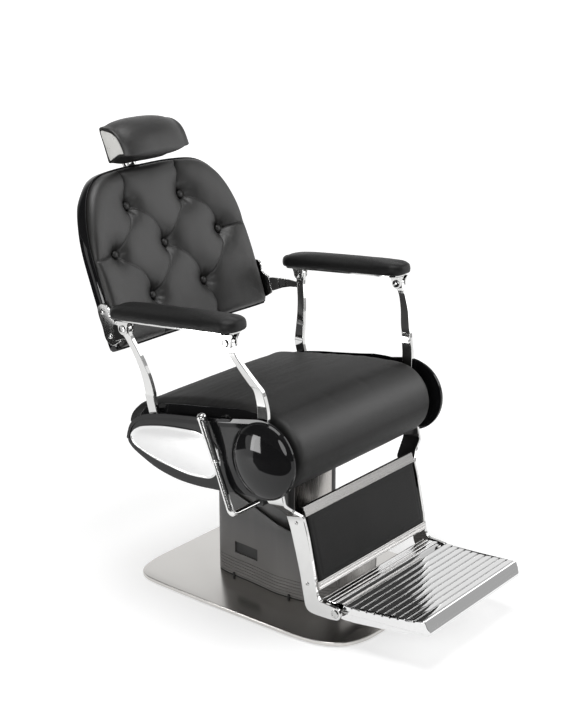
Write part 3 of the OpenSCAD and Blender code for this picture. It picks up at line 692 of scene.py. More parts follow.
il = half_loop(icov_h, 10, 220)
iin = sc_loop(il, 0.962, 50)
R = [xyp(*inset2(il, 0.5).T, 44.0)]
for k in range(0, 9):
    R.append(xyp(*il.T, 44.6 + (309.6 - 44.6)*k/8))
R += [xyp(*inset2(il, 0.45).T, 310.6), xyp(*inset2(il, 1.4).T, 311.0), xyp(*sc_loop(il, 0.60, 20).T, 311.0),
      xyp(*sc_loop(il, 0.60, 20).T, 308.6), xyp(*iin.T, 308.4)]
for k in range(8, -1, -1):
    R.append(xyp(*iin.T, 44.4 + (305 - 44.4)*k/8))
V, F = rings(R, loop=True)
o = add("inner_cover_body", V, F, M_COVER, "lift", "cover_black", ["inner_cover"], 32)
cut(o, [((50, 38, 40), (110, 82, 112)), ((-67, -52, 43), (67, -47.6, 323))])

# ------------------------------------------------------------------ side shells, domes, oval plates
st = cr([[-46, 466], [0, 458], [60, 449], [110, 442], [154, 434], [190, 425], [209, 417], [227, 405], [239, 390], [246, 372], [249, 358]], 10)
sbm = cr([[246, 349], [234, 338], [208, 325], [170, 310], [130, 301], [94, 297], [50, 297], [12, 300], [-30, 304], [-66, 310]], 10)
disc_c = (-122, 395)
darc = arc(disc_c, 84, 78, 269, 90)
shell_loop = np.vstack([st, sbm, darc[::-1]])
keep = [0]
for i in range(1, len(shell_loop)):
    if np.linalg.norm(shell_loop[i] - shell_loop[keep[-1]]) > 0.8:
        keep.append(i)
shell_loop = shell_loop[keep]
rim_in = cr([[-40, 458], [20, 447], [100, 435], [154, 426], [193, 414], [219, 400], [233, 385], [239, 370], [241, 358]], 10)
fo = cr([[243, 347], [234, 338.5], [208, 325], [170, 310], [130, 301], [94, 297], [50, 297], [12, 300], [-30, 304], [-60, 309]], 8)
fi = cr([[240, 350], [232, 342], [206.5, 328.5], [169, 313.5], [130, 304.5], [94, 300.5], [50, 300.5], [12, 303.5], [-30, 307.5], [-60, 312.5]], 8)
for side, mir in SIDES:
    # outer wall: flat behind the oval plate, softly swollen between plate and dome
    bmw = bmesh.new()
    vs = [bmw.verts.new((0, y, z)) for y, z in resample(shell_loop, 300, True)]
    bmw.faces.new(vs)
    bmesh.ops.triangulate(bmw, faces=bmw.faces)
    for _ in range(4):
        long = [e for e in bmw.edges if e.calc_length() > 9]
        if long:
            bmesh.ops.subdivide_edges(bmw, edges=long, cuts=1, use_grid_fill=True)
            bmesh.ops.triangulate(bmw, faces=bmw.faces)
    bmw.verts.index_update()
    W = np.array([v.co[:] for v in bmw.verts])
    T = [[v.index for v in f.verts] for f in bmw.faces]
    bnd = [v.index for v in bmw.verts if v.is_boundary]
    rimv = [[e.verts[0].index, e.verts[1].index] for e in bmw.edges if e.is_boundary]
    bmw.free()
    LB = W[bnd][:, 1:]
    edge = np.array([np.min(np.hypot(LB[:, 0] - q[1], LB[:, 1] - q[2])) for q in W])
    sw = (1 - smoothstep(-34, 4, W[:, 1]))*smoothstep(-190, -150, W[:, 1])
    bul = 2.2*np.exp(-((W[:, 2] - 352)/46.0)**2)*sw
    xo = 267.0 + bul*smoothstep(0, 16, edge) - 1.1*np.exp(-edge/0.9)
    n0 = len(W)
    V = np.vstack([np.stack([xo, W[:, 1], W[:, 2]], -1), np.stack([np.full(n0, 262.3), W[:, 1], W[:, 2]], -1)])
    F = T + [[q + n0 for q in t_[::-1]] for t_ in T] + [[a_, b_, b_ + n0, a_ + n0] for a_, b_ in rimv]
    add(f"shell_wall_{side}", V, F, M_BLACK, "seat", "shell_black", [f"shell_{side}"], 40, mir)
    rim = prism(np.vstack([st, rim_in[::-1]]), yz, 266.5, 269.4)
    o = add(f"shell_rim_{side}", *rim, M_BLACK, "seat", "shell_black", (), 35, mir)
    bevel(o, 1.2, 3, 40)
    fl = prism(np.vstack([fo, fi[::-1]]), yz, 242.3, 263.0)
    o = add(f"shell_flange_{side}", *fl, M_BLACK, "seat", "shell_black", (), 35, mir)
    bevel(o, 0.8, 2, 40)
    # glossy inner side of the slot the arm posts stand in: a concave skirt below the cushion
    sk = resample(np.vstack([[[-98, 473.5], [-70, 470.5]], [p for p in st if -40 <= p[0] <= 236]]), 110)
    R = []
    for j, p in enumerate(sk):
        e = min(1.0, (len(sk) - 1 - j)/9.0)
        hgt = 14.0*math.sqrt(max(e*(2 - e), 0.0))*min(1.0, 0.45 + 0.55*(p[0] + 98)/60.0)
        col = [(248.4, -14.0), (246.0, -5.0), (243.3, 5.0), (241.3, 12.0), (240.3, 15.2), (239.7, 16.2), (239.1, 16.2), (238.7, 15.0), (241.2, 5.0), (246.2, -14.0)]
        R.append(np.array([(x, p[0], p[1] - 14 + (dz + 14)*(14 + hgt)/30.3) for x, dz in col]))
    V, F = rings(R)
    add(f"shell_skirt_{side}", V, F, M_BLACK, "seat", "shell_black", (), 40, mir)
    # dome
    R = []
    tt = np.linspace(0, 2*math.pi, 120, endpoint=False)
    prof = [(1.0, 266.7), (1.0, 267.6), (0.995, 268.2)]
    for i in range(1, 30):
        a_ = math.radians(i*90/30)
        prof.append((0.99*math.cos(a_)**0.95, 268.2 + 20.6*math.sin(a_)))
    prof.append((0.002, 288.8))
    for k_, x_ in prof:
        R.append(yz(-129 - 3*(1 - k_) + 77.5*k_*np.cos(tt), 395.5 - 12*(1 - k_) + 80.5*k_*np.sin(tt), x_))
    V, F = rings(R)
    add(f"dome_cap_{side}", V, F, M_BLACK, "seat", "shell_black", [f"dome_{side}"], 50, mir)
    # raised crescent lip round the rear of the dome
    cre = arc((-129, 395.5), 80.0, -68, 36, 70)*1.0
    cre = np.array([-129, 395.5]) + (cre - np.array([-129, 395.5]))*np.array([1.0, 1.035])
    P = np.stack([np.full(len(cre), 268.3), cre[:, 0], cre[:, 1]], -1)
    rr = 2.6*np.sin(np.linspace(0.05, math.pi - 0.05, len(cre)))**0.5
    V, F = tube(P, np.maximum(rr, 0.3), 16)
    add(f"dome_lip_{side}", V, F, M_BLACK, "seat", "shell_black", (), 50, mir)
    # oval plate, slightly crowned, with a rolled edge
    ov = resample(cr([[237.5, 366], [230, 381], [212, 393], [188, 401], [141, 411], [90, 417], [50, 419], [15, 412], [-8, 393], [-16, 368], [-10, 345],
        [9, 325], [40, 319], [83, 318], [158, 328], [204, 340], [228, 350]], 12, True), 200, True)
    c = np.array([112.0, 366.0])
    R = [yz(*ov.T, 267.05)]
    for d, x in ((0, 268.3), (0.35, 269.2), (1.1, 269.75), (2.2, 269.95), (3.6, 269.7), (4.6, 269.45)):
        R.append(yz(*inset2(ov, d).T, x))
    base_in = inset2(ov, 4.6)
    for s in np.linspace(0.94, 0.0, 16):
        R.append(yz(*(c + (base_in - c)*max(s, 0.004)).T, 269.45 + 1.1*(1 - s*s)))
    V, F = rings(R)
    add(f"oval_plate_{side}", V, F, M_PLATE, "seat", "chrome", [f"side_plate_{side}"], 40, mir)

# ------------------------------------------------------------------ seat cushion
seat_top = cr([[-40, 478], [-20, 476], [40, 469], [112, 459], [170, 449], [220, 439], [243, 431], [256, 421], [267, 410], [275, 397], [279, 384], [278, 375], [271, 370.5],
    [260, 372], [252, 380], [247, 391], [238, 396.2]], 8)
a0 = 90.0
roll = arc(PF, 84, 96, 300, 90)
seat_prof = np.vstack([[[-55, 478.8]], seat_top[1:], [[200, 396.4], [120, 396.2], [20, 396.2], [-36, 396.2]], roll[::-1], [[-110, 480], [-80, 479.5]]])
seat_prof = resample(seat_prof, 260, True)
if area2(seat_prof) < 0:
    seat_prof = seat_prof[::-1]
sn = normals2(seat_prof)
R = []
HW = 236.0
ins = [(-HW, 8.5), (-HW + 0.5, 6.0), (-HW + 1.8, 3.8), (-HW + 4.0, 2.0), (-HW + 7.0, 0.8), (-HW + 11, 0.2), (-HW + 18, 0.0)]
xs = ins + [(x, 0.0) for x in np.linspace(-HW + 32, HW - 32, 30)] + [(-x, d) for x, d in ins[::-1]]
shrink = 1.6
for x, d in xs:
    top = np.clip((seat_prof[:, 1] - 400)/60, 0, 1)
    crown = 3.5*(1 - (x/HW)**2)
    P = seat_prof - sn*(d + shrink) + np.stack([np.zeros(len(sn)), crown*top*np.clip(sn[:, 1], 0, 1)], -1)
    R.append(yz(P[:, 0], P[:, 1], x*(HW - shrink)/HW))
V, F = rings(R)
seat = add("seat_leather", V, F, M_SEAT, "seat", "leather", ["seat_cushion"], 60)
puff(seat, 5.5, 3.2, 3.6, lambda p: (p[:, 2] < 399) & (p[:, 1] > -38), 16, smooth=6)


def seat_wr(P, n):
    up = np.clip(n[:, 2], 0, 1)
    front = smoothstep(-60, 10, P[:, 1])
    w = nz(P, (120, 16, 60), 3.1) * 0.5 + nz(P, (60, 7, 40), 9.4)*0.22
    soft = nz(P, 95, 5.5)*0.7
    return w*up*(0.25 + 0.75*front) + soft*0.6


displace(seat, seat_wr)
sc_ = np.zeros(len(seat.data.vertices)*3)
seat.data.vertices.foreach_get("co", sc_)
sc_ = sc_.reshape(-1, 3)
sc_[:, 2] = np.maximum(sc_[:, 2], 0.3124)
sc_[:, 0] = np.clip(sc_[:, 0], -0.2385, 0.2385)
seat.data.vertices.foreach_set("co", sc_.ravel())
seat.data.update()

# ------------------------------------------------------------------ recline lever
th = math.radians(22)
dirv = np.array([0, math.sin(th), math.cos(th)])
pv = np.array([LEV_X, LEV[0], LEV[1]], float)
rb = 13.0
P = [np.array([x, LEV[0], LEV[1]], float) for x in np.linspace(166, LEV_X - rb - 4, 10)]
corner = pv
a, b = pv - np.array([rb, 0, 0]), pv + dirv*rb
for t in np.linspace(0, 1, 12):
    P.append((1-t)**2*a + 2*t*(1-t)*corner + t*t*b)
for t in np.linspace(rb + 6, 112, 12):
    P.append(pv + dirv*t)
P = np.array(P)
r = np.full(len(P), 7.0)
r[:10] = 6.4
r[10:22] = np.linspace(6.6, 7.6, 12)
r[-12:] = np.linspace(7.4, 6.2, 12)
parts = [tube(P, r, 28)]
parts.append(lathe([(0, 0), (8.4, 0), (9, 0.6), (9, 5.4), (8.4, 6), (0, 6)], (160, LEV[0], LEV[1]), (1, 0, 0), 40))
V, F = merge(*parts)
add("recline_lever_rod", V, F, M_LEVER, "lever", "chrome", ["recline_lever"], 40, True)
prof = [(0, 0), (6.2, 0), (7.4, 0.4), (8.2, 1.2), (8.2, 3.6), (7.5, 4.6), (7.3, 5.4), (7.5, 9), (8.3, 40), (9.0, 78), (9.1, 89)]
for i in range(0, 16):
    a_ = math.radians(-24 + i*7.6)
    prof.append((10.2*math.cos(a_), 97.0 + 9.0*math.sin(a_)))
V, F = lathe(prof, pv + dirv*112, dirv, 36)
add("recline_lever_sleeve", V, F, M_LEVER, "lever", "chrome", ["lever_sleeve"], 50, True)

# ------------------------------------------------------------------ arm posts
rear_rows = np.array([[161, 374, 255.3, 25], [173, 415, 255.3, 25], [185, 457, 255.3, 25], [186, 472, 256, 24.5], [188, 502, 262, 22],
    [192, 532, 270, 20], [199, 562, 279, 19], [208, 590, 288, 19], [213, 606, 294, 22], [214, 615, 294, 24]], float)
front_rows = np.array([[-118, 396, 255.3, 26], [-119, 440, 255.3, 26], [-120, 487, 255.3, 26], [-117, 512, 256, 24.5], [-112, 537, 260, 22.5],
    [-104, 554, 268, 22], [-92, 582, 282, 20], [-78, 610, 292.5, 17], [-69, 628, 294, 20], [-65, 637, 294, 22]], float)


def post(rows, r0, r1):
    q = cr(rows, 6)
    xf = lambda z: float(np.interp(z, q[:, 1], q[:, 2]))
    L = q[:, :2] - np.stack([q[:, 3]/2, q[:, 3]*0], -1)
    Rr = q[:, :2] + np.stack([q[:, 3]/2, q[:, 3]*0], -1)
    s = arc(rows[0][:2], r0, 180 + 2, 360 - 2, 20)
    e = arc(rows[-1][:2], r1, 180 - 4, 4, 18)
    return ribbon(L, Rr, xf, 10.0, s, e)


for side, mir in SIDES:
    V, F = post(rear_rows, 12.5, 12.0)
    o = add(f"rear_post_bar_{side}", V, F, M_CHROME, "back", "chrome", [f"rear_post_{side}"], 35, mir)
    bevel(o, 1.5, 3, 50)
    V, F = post(front_rows, 13.0, 11.5)
    o = add(f"front_post_bar_{side}", V, F, M_CHROME, f"post_{side}", "chrome", [f"front_post_{side}"], 35, mir)
    bevel(o, 1.5, 3, 50)

# ------------------------------------------------------------------ back brackets and screws
brk = resample(cr([[317, 641], [327, 638], [334, 628], [332, 614], [322, 590], [314, 566], [303, 556], [290, 554], [276, 562], [268, 569],
    [272, 584], [278, 604], [288, 609], [299, 616], [302, 632], [308, 639]], 8, True), 90, True)


def screw(c, axis, r, h, slotw=0.9):
    """Low domed screw head with a shallow socket."""
    prof = [(0, -3.0), (r*0.58, -3.0), (r*0.58, 0), (r, 0), (r, h*0.35), (r*0.93, h*0.72), (r*0.72, h), (r*0.46, h*1.08), (r*0.44, h*1.02),
            (r*0.40, h*0.35), (0, h*0.3)]
    return lathe(prof, c, axis, 30)


for side, mir in SIDES:
    body = prism(brk, yz, 252.3, 257.3)
    o = add(f"back_bracket_plate_{side}", *body, M_CHROME, "back", "chrome", [f"back_bracket_{side}"], 35, mir)
    bevel(o, 1.0, 3, 40)
    # joggled tab to the rear post
    L = np.array([[290, 601], [268, 604], [250, 603.5], [232, 600.5], [212, 597]], float)
    Rr = np.array([[284, 565], [264, 573], [247, 580], [230, 583.5], [211, 584]], float)
    t = []
    for k, (p, q) in enumerate(zip(L, Rr)):
        for (yy, zz) in (p, q):
            xc = np.interp(yy, [208, 222, 276, 292], [280.8, 280.8, 254.8, 254.8])
            t.append((xc, yy, zz))
    Vt, Ft = [], []
    for (x, y, z) in t:
        Vt.append((x + 2.6, y, z))
    for (x, y, z) in t:
        Vt.append((x - 2.6, y, z))
    m = len(t)
    for k in range(4):
        a = 2*k
        Ft.append([a, a+1, a+3, a+2]); Ft.append([a+m, a+2+m, a+3+m, a+1+m])
        Ft.append([a, a+2, a+2+m, a+m]); Ft.append([a+1, a+1+m, a+3+m, a+3])
    Ft.append([0, m, m+1, 1]); Ft.append([2*4, 2*4+1, 2*4+1+m, 2*4+m])
    o = add(f"back_bracket_tab_{side}", Vt, Ft, M_CHROME, "back", "chrome", (), 40, mir)
    bevel(o, 0.8, 2, 40)
    parts = [screw((257.3, p[0], p[1]), (1, 0, 0), 6.2, 2.6) for p in ((319, 624), (298, 574))]
    V, F = merge(*parts)
    rep = ["bracket_screws"] if side == "left" else ()
    add(f"bracket_screw_pair_{side}", V, F, M_CHROME2, "back", "chrome", rep, 30, mir)

# ------------------------------------------------------------------ back shell and tufted back
back_h = [[0, -92], [120, -92], [228, -92], [240, -89], [245, -80], [246, 0], [246, 60], [245, 110], [241, 146], [233, 178],
    [221, 210], [204, 238], [180, 261], [150, 275], [110, 281], [60, 284], [0, 284]]
bh = cr(back_h, 10)
back_loop = np.vstack([bh, (bh*[-1, 1])[::-1][1:-1]])
back_loop = resample(back_loop, 400, True)
i0 = int(np.argmin(np.linalg.norm(back_loop - [0, -92], axis=1)))
back_loop = np.roll(back_loop, -i0, 0)
BC = np.array([0.0, 96.0])
BW, BH = 246.0, 188.0


def bscale(P, i):
    return BC + (P - BC)*np.array([(BW - i)/BW, (BH - i)/BH])


def wsurf(u):
    return 3.5 + u*u/2300.0


def thin_top(v, w):
    """The dish gets shallower towards its top edge, clear of the tilting headrest."""
    k = 1 - 0.6*smoothstep(215, 262, v)
    return np.where(w < -29.0, -29.0 + (w + 29.0)*k, w)


# rear shell: a dish with a rim that stands behind the cushion's side
R = []
for i, w in ((6.4, -30), (6.2, -28.6), (5.6, -28.2), (-0.6, -28.2), (-0.8, -27), (-0.8, -14.6), (-1.1, -13.5), (-2.1, -13.0), (-3.2, -13.4), (-3.7, -14.6), (-4.5, -26),
             (-4.4, -37), (-3.2, -41.5), (-0.8, -44.0), (4, -44.6)):
    P = bscale(back_loop, i)
    R.append(back_pt(P[:, 0], P[:, 1], wsurf(P[:, 0]) + thin_top(P[:, 1], w)))
for s in np.linspace(0.93, 0.0, 14):
    P = BC + (bscale(back_loop, 4) - BC)*max(s, 0.003)
    R.append(back_pt(P[:, 0], P[:, 1], wsurf(P[:, 0]) + thin_top(P[:, 1], -44.6) + 0.3*(1 - s)))
for s in np.linspace(0.0, 0.97, 14):
    P = BC + (bscale(back_loop, 6.4) - BC)*max(s, 0.003)
    R.append(back_pt(P[:, 0], P[:, 1], wsurf(P[:, 0]) + thin_top(P[:, 1], -37.0)))
V, F = rings(R, loop=True)
add("back_shell_dish", V, F, M_BLACK, "back", "shell_black", ["back_shell"], 45)

BUT = [(-88, 202), (88, 202), (-170, 104), (0, 104), (170, 104), (-85, -2), (85, -2)]
LINES = [
    [(-91, 290), (-84, 257), (-90, 229), (-88, 202)],
    [(84, 290), (88, 254), (80, 226), (88, 202)],
    [(-88, 202), (-60, 188), (-30, 161), (-8, 124), (0, 104)],
    [(88, 202), (74, 176), (47, 150), (22, 122), (0, 104)],
    [(88, 202), (112, 188), (140, 164), (163, 128), (170, 104)],
    [(-88, 202), (-92, 178), (-112, 152), (-142, 124), (-170, 104)],
    [(-170, 104), (-142, 78), (-112, 55), (-92, 24), (-85, -2)],
    [(0, 104), (-4, 79), (-19, 53), (-57, 16), (-85, -2)],
    [(0, 104), (24, 86), (44, 68), (66, 38), (85, -2)],
    [(170, 104), (166, 76), (146, 46), (116, 16), (85, -2)],
    [(-262, 96), (-225, 99), (-200, 103), (-170, 104)],
    [(170, 104), (200, 103), (225, 103), (262, 101)],
    [(-85, -2), (-80, -30), (-84, -62), (-80, -104)],
    [(85, -2), (92, -29), (96, -60), (88, -104)],
]
LN = [resample(cr(l, 10), 60) for l in LINES]


def tuft(P):
    """Height of the padded front (mm, forward) at points (u, v)."""
    bt = np.array(BUT, float)
    rb_ = np.linalg.norm(P[:, None, :] - bt[None], axis=2)
    rmin = rb_.min(1)
    near = np.exp(-rmin/30.0)
    tot = np.zeros(len(P))
    groove = np.zeros(len(P))
    lip = np.zeros(len(P))
    for k, l in enumerate(LN):
        seg = l[1:] - l[:-1]
        ln = np.linalg.norm(seg, axis=1)
        mid = (l[1:] + l[:-1])/2
        d = P[:, None, :] - mid[None]
        tang = seg/ln[:, None]
        al = np.clip(np.einsum("ijk,jk->ij", d, tang), -ln/2, ln/2)
        cl_ = mid[None] + al[..., None]*tang[None]
        dv = P[:, None, :] - cl_
        dist = np.linalg.norm(dv, axis=2)
        j = dist.argmin(1)
        ii = np.arange(len(P))
        dm = dist[ii, j]
        tg = tang[j]
        sd = dv[ii, j, 0]*tg[:, 1] - dv[ii, j, 1]*tg[:, 0]
        edge = k >= 10 or k < 2
        D = 4.0 + 13.0*near + (2.5 if edge else 0)
        tot += (D*np.exp(-dm/26.0))**3
        g = 1.5 + 2.2*near + (0.8 if edge else 0)
        groove = np.maximum(groove, g*np.exp(-(dm/1.9)**2))
        lip += (0.9 + 0.8*near)*np.tanh(sd/1.6)*np.exp(-dm/9.0)
    h = -np.cbrt(tot)
    h -= groove
    h += np.clip(lip, -2, 2)*np.clip(rmin/14, 0, 1)
    h -= (15.0*np.exp(-(rb_/21.0)**1.35)).sum(1)
    # small pulls round each button
    for k, (bu, bv) in enumerate(BUT):
        th_ = np.arctan2(P[:, 1] - bv, P[:, 0] - bu)
        rr_ = rb_[:, k]
        h += 0.55*np.cos(9*th_ + k*1.3)*np.exp(-((rr_ - 20)/8.0)**2)
    return h + 10.5


# front patch: a grid stretched between four corners of the inset outline
RO = 15.0
inner_loop = bscale(back_loop, RO)
corners = [np.argmin(np.linalg.norm(inner_loop - c, axis=1)) for c in ([-232, -80], [232, -80], [205, 225], [-205, 225])]


def run(i, j, n):
    m = len(inner_loop)
    k = (j - i) % m
    P = np.array([inner_loop[(i + q) % m] for q in range(k + 1)])
    return resample(P, n)


if area2(inner_loop) < 0:
    inner_loop = inner_loop[::-1]
    corners = [np.argmin(np.linalg.norm(inner_loop - c, axis=1)) for c in ([-232, -80], [232, -80], [205, 225], [-205, 225])]
nu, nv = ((241, 191))
B = run(corners[0], corners[1], nu)
Rg = run(corners[1], corners[2], nv)
Tp = run(corners[2], corners[3], nu)[::-1]
Lf = run(corners[3], corners[0], nv)[::-1]
s = np.linspace(0, 1, nu)[None, :, None]
t = np.linspace(0, 1, nv)[:, None, None]
G = (1-t)*B[None] + t*Tp[None] + (1-s)*Lf[:, None] + s*Rg[:, None] - (
    (1-s)*(1-t)*B[0] + s*(1-t)*B[-1] + (1-s)*t*Tp[0] + s*t*Tp[-1])
G = G.reshape(-1, 2)
edge_d = np.minimum(BW - RO - np.abs(G[:, 0])*1.0, 1e9)
h = tuft(G)
P3 = np.stack([G[:, 0], G[:, 1], np.zeros(len(G))], -1)
h += nz(P3, 70, 2.2)*0.9 + nz(P3, 26, 7.7)*0.35
loop_idx = [i for i in range(nu)] + [j*nu + nu - 1 for j in range(1, nv)] + [(nv-1)*nu + i for i in range(nu - 2, -1, -1)] + [j*nu for j in range(nv - 2, 0, -1)]
bd = G[loop_idx]
from mathutils.kdtree import KDTree
kd = KDTree(len(bd))
for i, p in enumerate(bd):
    kd.insert((p[0], p[1], 0), i)
kd.balance()
dist_b = np.array([kd.find((p[0], p[1], 0))[2] for p in G])
h -= 5.0*np.exp(-dist_b/16.0)
verts = list(back_pt(G[:, 0], G[:, 1], wsurf(G[:, 0]) + h))
faces = []
for j in range(nv - 1):
    for i in range(nu - 1):
        a = j*nu + i
        faces.append([a, a+1, a+nu+1, a+nu])
# rolled edge and side wall
hb = h[loop_idx]
ring_prev = loop_idx
full = []
for k in range(1, 9):
    ph = math.radians(k*90/8)
    full.append((RO*(1 - math.sin(ph)), RO*(1 - math.cos(ph)), 1 - k/8))
full += [(0.0, 18.0, 0), (0.2, 22.0, 0), (0.8, 25.5, 0), (2.2, 27.6, 0), (8, 27.9, 0)]
scl = (bd - BC)/np.array([(BW - RO)/BW, (BH - RO)/BH])
for (ins_, drop, f) in full:
    P = BC + scl*np.array([(BW - ins_)/BW, (BH - ins_)/BH])
    w = wsurf(P[:, 0]) - drop*1.0 + hb*f
    k0 = len(verts)
    verts += list(back_pt(P[:, 0], P[:, 1], w))
    cur = list(range(k0, k0 + len(P)))
    m = len(cur)
    for i in range(m):
        i2 = (i+1) % m
        faces.append([ring_prev[i], cur[i], cur[i2], ring_prev[i2]])
    ring_prev = cur
faces.append(ring_prev[::-1])
back = add("back_leather", np.array(verts), faces, M_BACK, "back", "leather", ["back_cushion"], 65)

parts = []
for (bu, bv) in BUT:
    w0 = wsurf(bu) - 12.0
    prof = [(0, -6), (6.0, -6), (8.2, -3.4), (8.8, -1.0), (8.6, 0.8), (7.4, 2.6), (5.4, 3.9), (3.0, 4.7), (1.0, 5.0), (0, 5.02)]
    c = back_pt(bu, bv, w0)
    parts.append(lathe(prof, c, (0, -ca, sa), 36))
V, F = merge(*parts)
add("back_button_set", V, F, M_BUTTON, "back", "leather", ["back_buttons"], 60)

# ------------------------------------------------------------------ arms
def rrect(a, b, r, n=12):
    return np.vstack([arc((a-r, b-r), r, 0, 90, n), arc((-a+r, b-r), r, 90, 180, n), arc((-a+r, -b+r), r, 180, 270, n), arc((a-r, -b+r), r, 270, 360, n)])


for side, mir in SIDES:
    # chrome plate under the pad
    pl = rrect(26, 163, 22)
    R = []
    for d, z in ((1.2, 17.2), (0, 18.2), (0, 20.8), (1.2, 22.0)):
        q = inset2(pl, d)
        R.append(arm_pt(286.5 + q[:, 0], -134 + q[:, 1], z))
    parts = [rings(R)]
    for yc in (-279.9, 0.0):
        for x0 in (282.5, 300.5):
            lug = np.vstack([arc((yc, 0), 12.5, 180, 360, 24), [[yc + 13.0, 5], [yc + 14.5, 9], [yc + 19, 17.6], [yc - 19, 17.6], [yc - 14.5, 9], [yc - 13.0, 5]]])
            rr_ = []
            for d, x in ((0.8, x0), (0, x0 + 0.8), (0, x0 + 4.2), (0.8, x0 + 5.0)):
                q = inset2(lug, d)
                rr_.append(arm_pt(x, q[:, 0], q[:, 1]))
            parts.append(rings(rr_))
    V, F = merge(*parts)
    add(f"arm_rail_{side}", V, F, M_CHROME, f"arm_{side}", "chrome", [f"arm_plate_{side}"], 35, mir)
    parts = []
    ax = np.array([1.0, 0, 0])
    for yc in (-279.9, 0.0):
        c = arm_pt(280.0, yc, 0)
        prof = [(0, 0), (7.0, 0), (8.3, 0.7), (8.3, 2.5), (5.9, 2.5), (5.9, 25.5), (8.5, 25.5), (8.5, 26.9), (7.9, 27.7), (6.4, 28.1), (4.2, 28.15), (3.9, 27.2), (0, 27.0)]
        parts.append(lathe(prof, c, ax, 36))
    V, F = merge(*parts)
    add(f"arm_pivot_bolts_{side}", V, F, M_CHROME2, f"arm_{side}", "chrome", [f"arm_bolts_{side}"], 32, mir)
    # padded arm top
    R = []
    sh = 2.0
    lo = rrect(38 - sh, 173 - sh, 30)
    for d, z in ((6, 22.05), (2.0, 22.5), (0.4, 24.5), (0, 28), (0.0, 38), (0.8, 43.5), (3.2, 47.8), (7.5, 50.6), (13.0, 51.8)):
        q = inset2(lo, d)
        yy = q[:, 1]
        R.append(arm_pt(286.5 + q[:, 0], -137 + yy, z - 5.0*(np.abs(yy)/173)**3*np.clip((z - 30)/20, 0, 1)))
    for s_ in (0.75, 0.5, 0.25, 0.01):
        q = inset2(lo, 13)*np.array([s_, 0.3 + 0.7*s_ if s_ > 0.02 else 0.3])
        R.append(arm_pt(286.5 + q[:, 0], -137 + q[:, 1], 51.8 - 5.0*(np.abs(q[:, 1])/173)**3 + 1.4*(1 - s_*s_)))
    V, F = rings(R)
    pad = add(f"arm_leather_{side}", V, F, M_ARM, f"arm_{side}", "leather", [f"arm_pad_{side}"], 60, mir)
    puff(pad, 4.0, 4.5, 2.6, lambda p: (p[:, 2] - (615 - (p[:, 1] - 214)*0.0787)) < 25.0, 14, smooth=3)
    displace(pad, lambda P, n: nz(P, (40, 60, 40), 1.7)*0.5 + nz(P, (18, 9, 18), 4.2)*0.12)

# ------------------------------------------------------------------ leg bars, panel, trims
LF = [[-156, 337], [-158, 330], [-163, 312], [-167, 296], [-171, 282], [-179, 268], [-184, 252], [-193, 221], [-206, 160], [-211, 130],
    [-215, 109], [-219, 99], [-226, 93], [-246, 91.5], [-262, 90]]
LRr = [[-114, 337], [-117, 325], [-121, 305], [-126, 289], [-132, 271], [-138, 257], [-146, 237], [-154, 210], [-170, 150], [-176, 122],
    [-182, 91], [-188, 69], [-203, 60], [-246, 60], [-262, 62]]
leg_x = np.array([[201.6, 40], [201.6, 259], [202.6, 264.5], [207, 270], [223, 282.5], [239.5, 295.5], [244, 300], [245.3, 305], [245.3, 360]], float)
lxs = resample(leg_x, 400)


def legx(z):
    return float(np.interp(z, lxs[:, 1], lxs[:, 0]))


for side, mir in SIDES:
    L, Rr = cr(LF, 5), cr(LRr, 5)
    s0 = arc(LR, 21, 180 - 5, 5, 24)
    e0 = arc(FR, 14, 90 + 8, 270 - 8, 16)
    V, F = ribbon(L, Rr, legx, 8.0, s0, e0)
    o = add(f"leg_bar_flat_{side}", V, F, M_CHROME, "legrest", "chrome", [f"leg_bar_{side}"], 35, mir)
    bevel(o, 1.2, 3, 50)
    parts = [screw((205.6, p[0], p[1]), (1, 0, 0), 4.2, 1.5) for p in ((-163, 250), (-192, 123))]
    parts.append(lathe([(0, 0), (5, 0), (5, 29.6), (9, 29.6), (9, 31.2), (8.2, 32.2), (5.2, 32.6), (4.8, 31.8), (0, 31.6)], (176, *FR), (1, 0, 0), 36))
    V, F = merge(*parts)
    add(f"leg_screw_set_{side}", V, F, M_CHROME2, "legrest", "chrome", ["leg_screws"] if side == "left" else (), 32, mir)

# panel: a leather wrapped board with a soft border
PT, PB = np.array([-182, 264.2]), np.array([-215, 131.0])
pd = (PB - PT)/np.linalg.norm(PB - PT)
pn = np.array([pd[1], -pd[0]])
if pn[0] > 0:
    pn = -pn
plen = np.linalg.norm(PB - PT)
nx, ny = 121, 49
gx = np.linspace(-190.6, 190.6, nx)
gy = np.linspace(0, plen, ny)
X, Y = np.meshgrid(gx, gy)
ex = 190.6 - np.abs(X)
ey = np.minimum(Y, plen - Y)
ed = np.minimum(ex, ey)
hh = -1.6 + 2.0*(1 - np.exp(-ed/4.0)) - 0.9*np.exp(-((ed - 9.0)/1.3)**2) + 1.2*np.clip(ex/190, 0, 1)*np.clip(ey/60, 0, 1)
Pf = PT + Y[..., None]*pd + hh[..., None]*pn
Vf = np.stack([X, Pf[..., 0], Pf[..., 1]], -1).reshape(-1, 3)
Pb = PT + Y[..., None]*pd - 7.2*pn
Vb = np.stack([X, Pb[..., 0], Pb[..., 1]], -1).reshape(-1, 3)
V = np.vstack([Vf, Vb])
m = nx*ny
F = []
for j in range(ny - 1):
    for i in range(nx - 1):
        a = j*nx + i
        F.append([a, a+1, a+nx+1, a+nx]); F.append([a+m, a+nx+m, a+nx+1+m, a+1+m])
lp = list(range(nx)) + [j*nx + nx - 1 for j in range(1, ny)] + [(ny-1)*nx + i for i in range(nx-2, -1, -1)] + [j*nx for j in range(ny-2, 0, -1)]
for a, b in zip(lp, lp[1:] + lp[:1]):
    F.append([a, a+m, b+m, b])
o = add("leg_leather", V, F, M_LEG, "legrest", "leather", ["leg_pad"], 45)
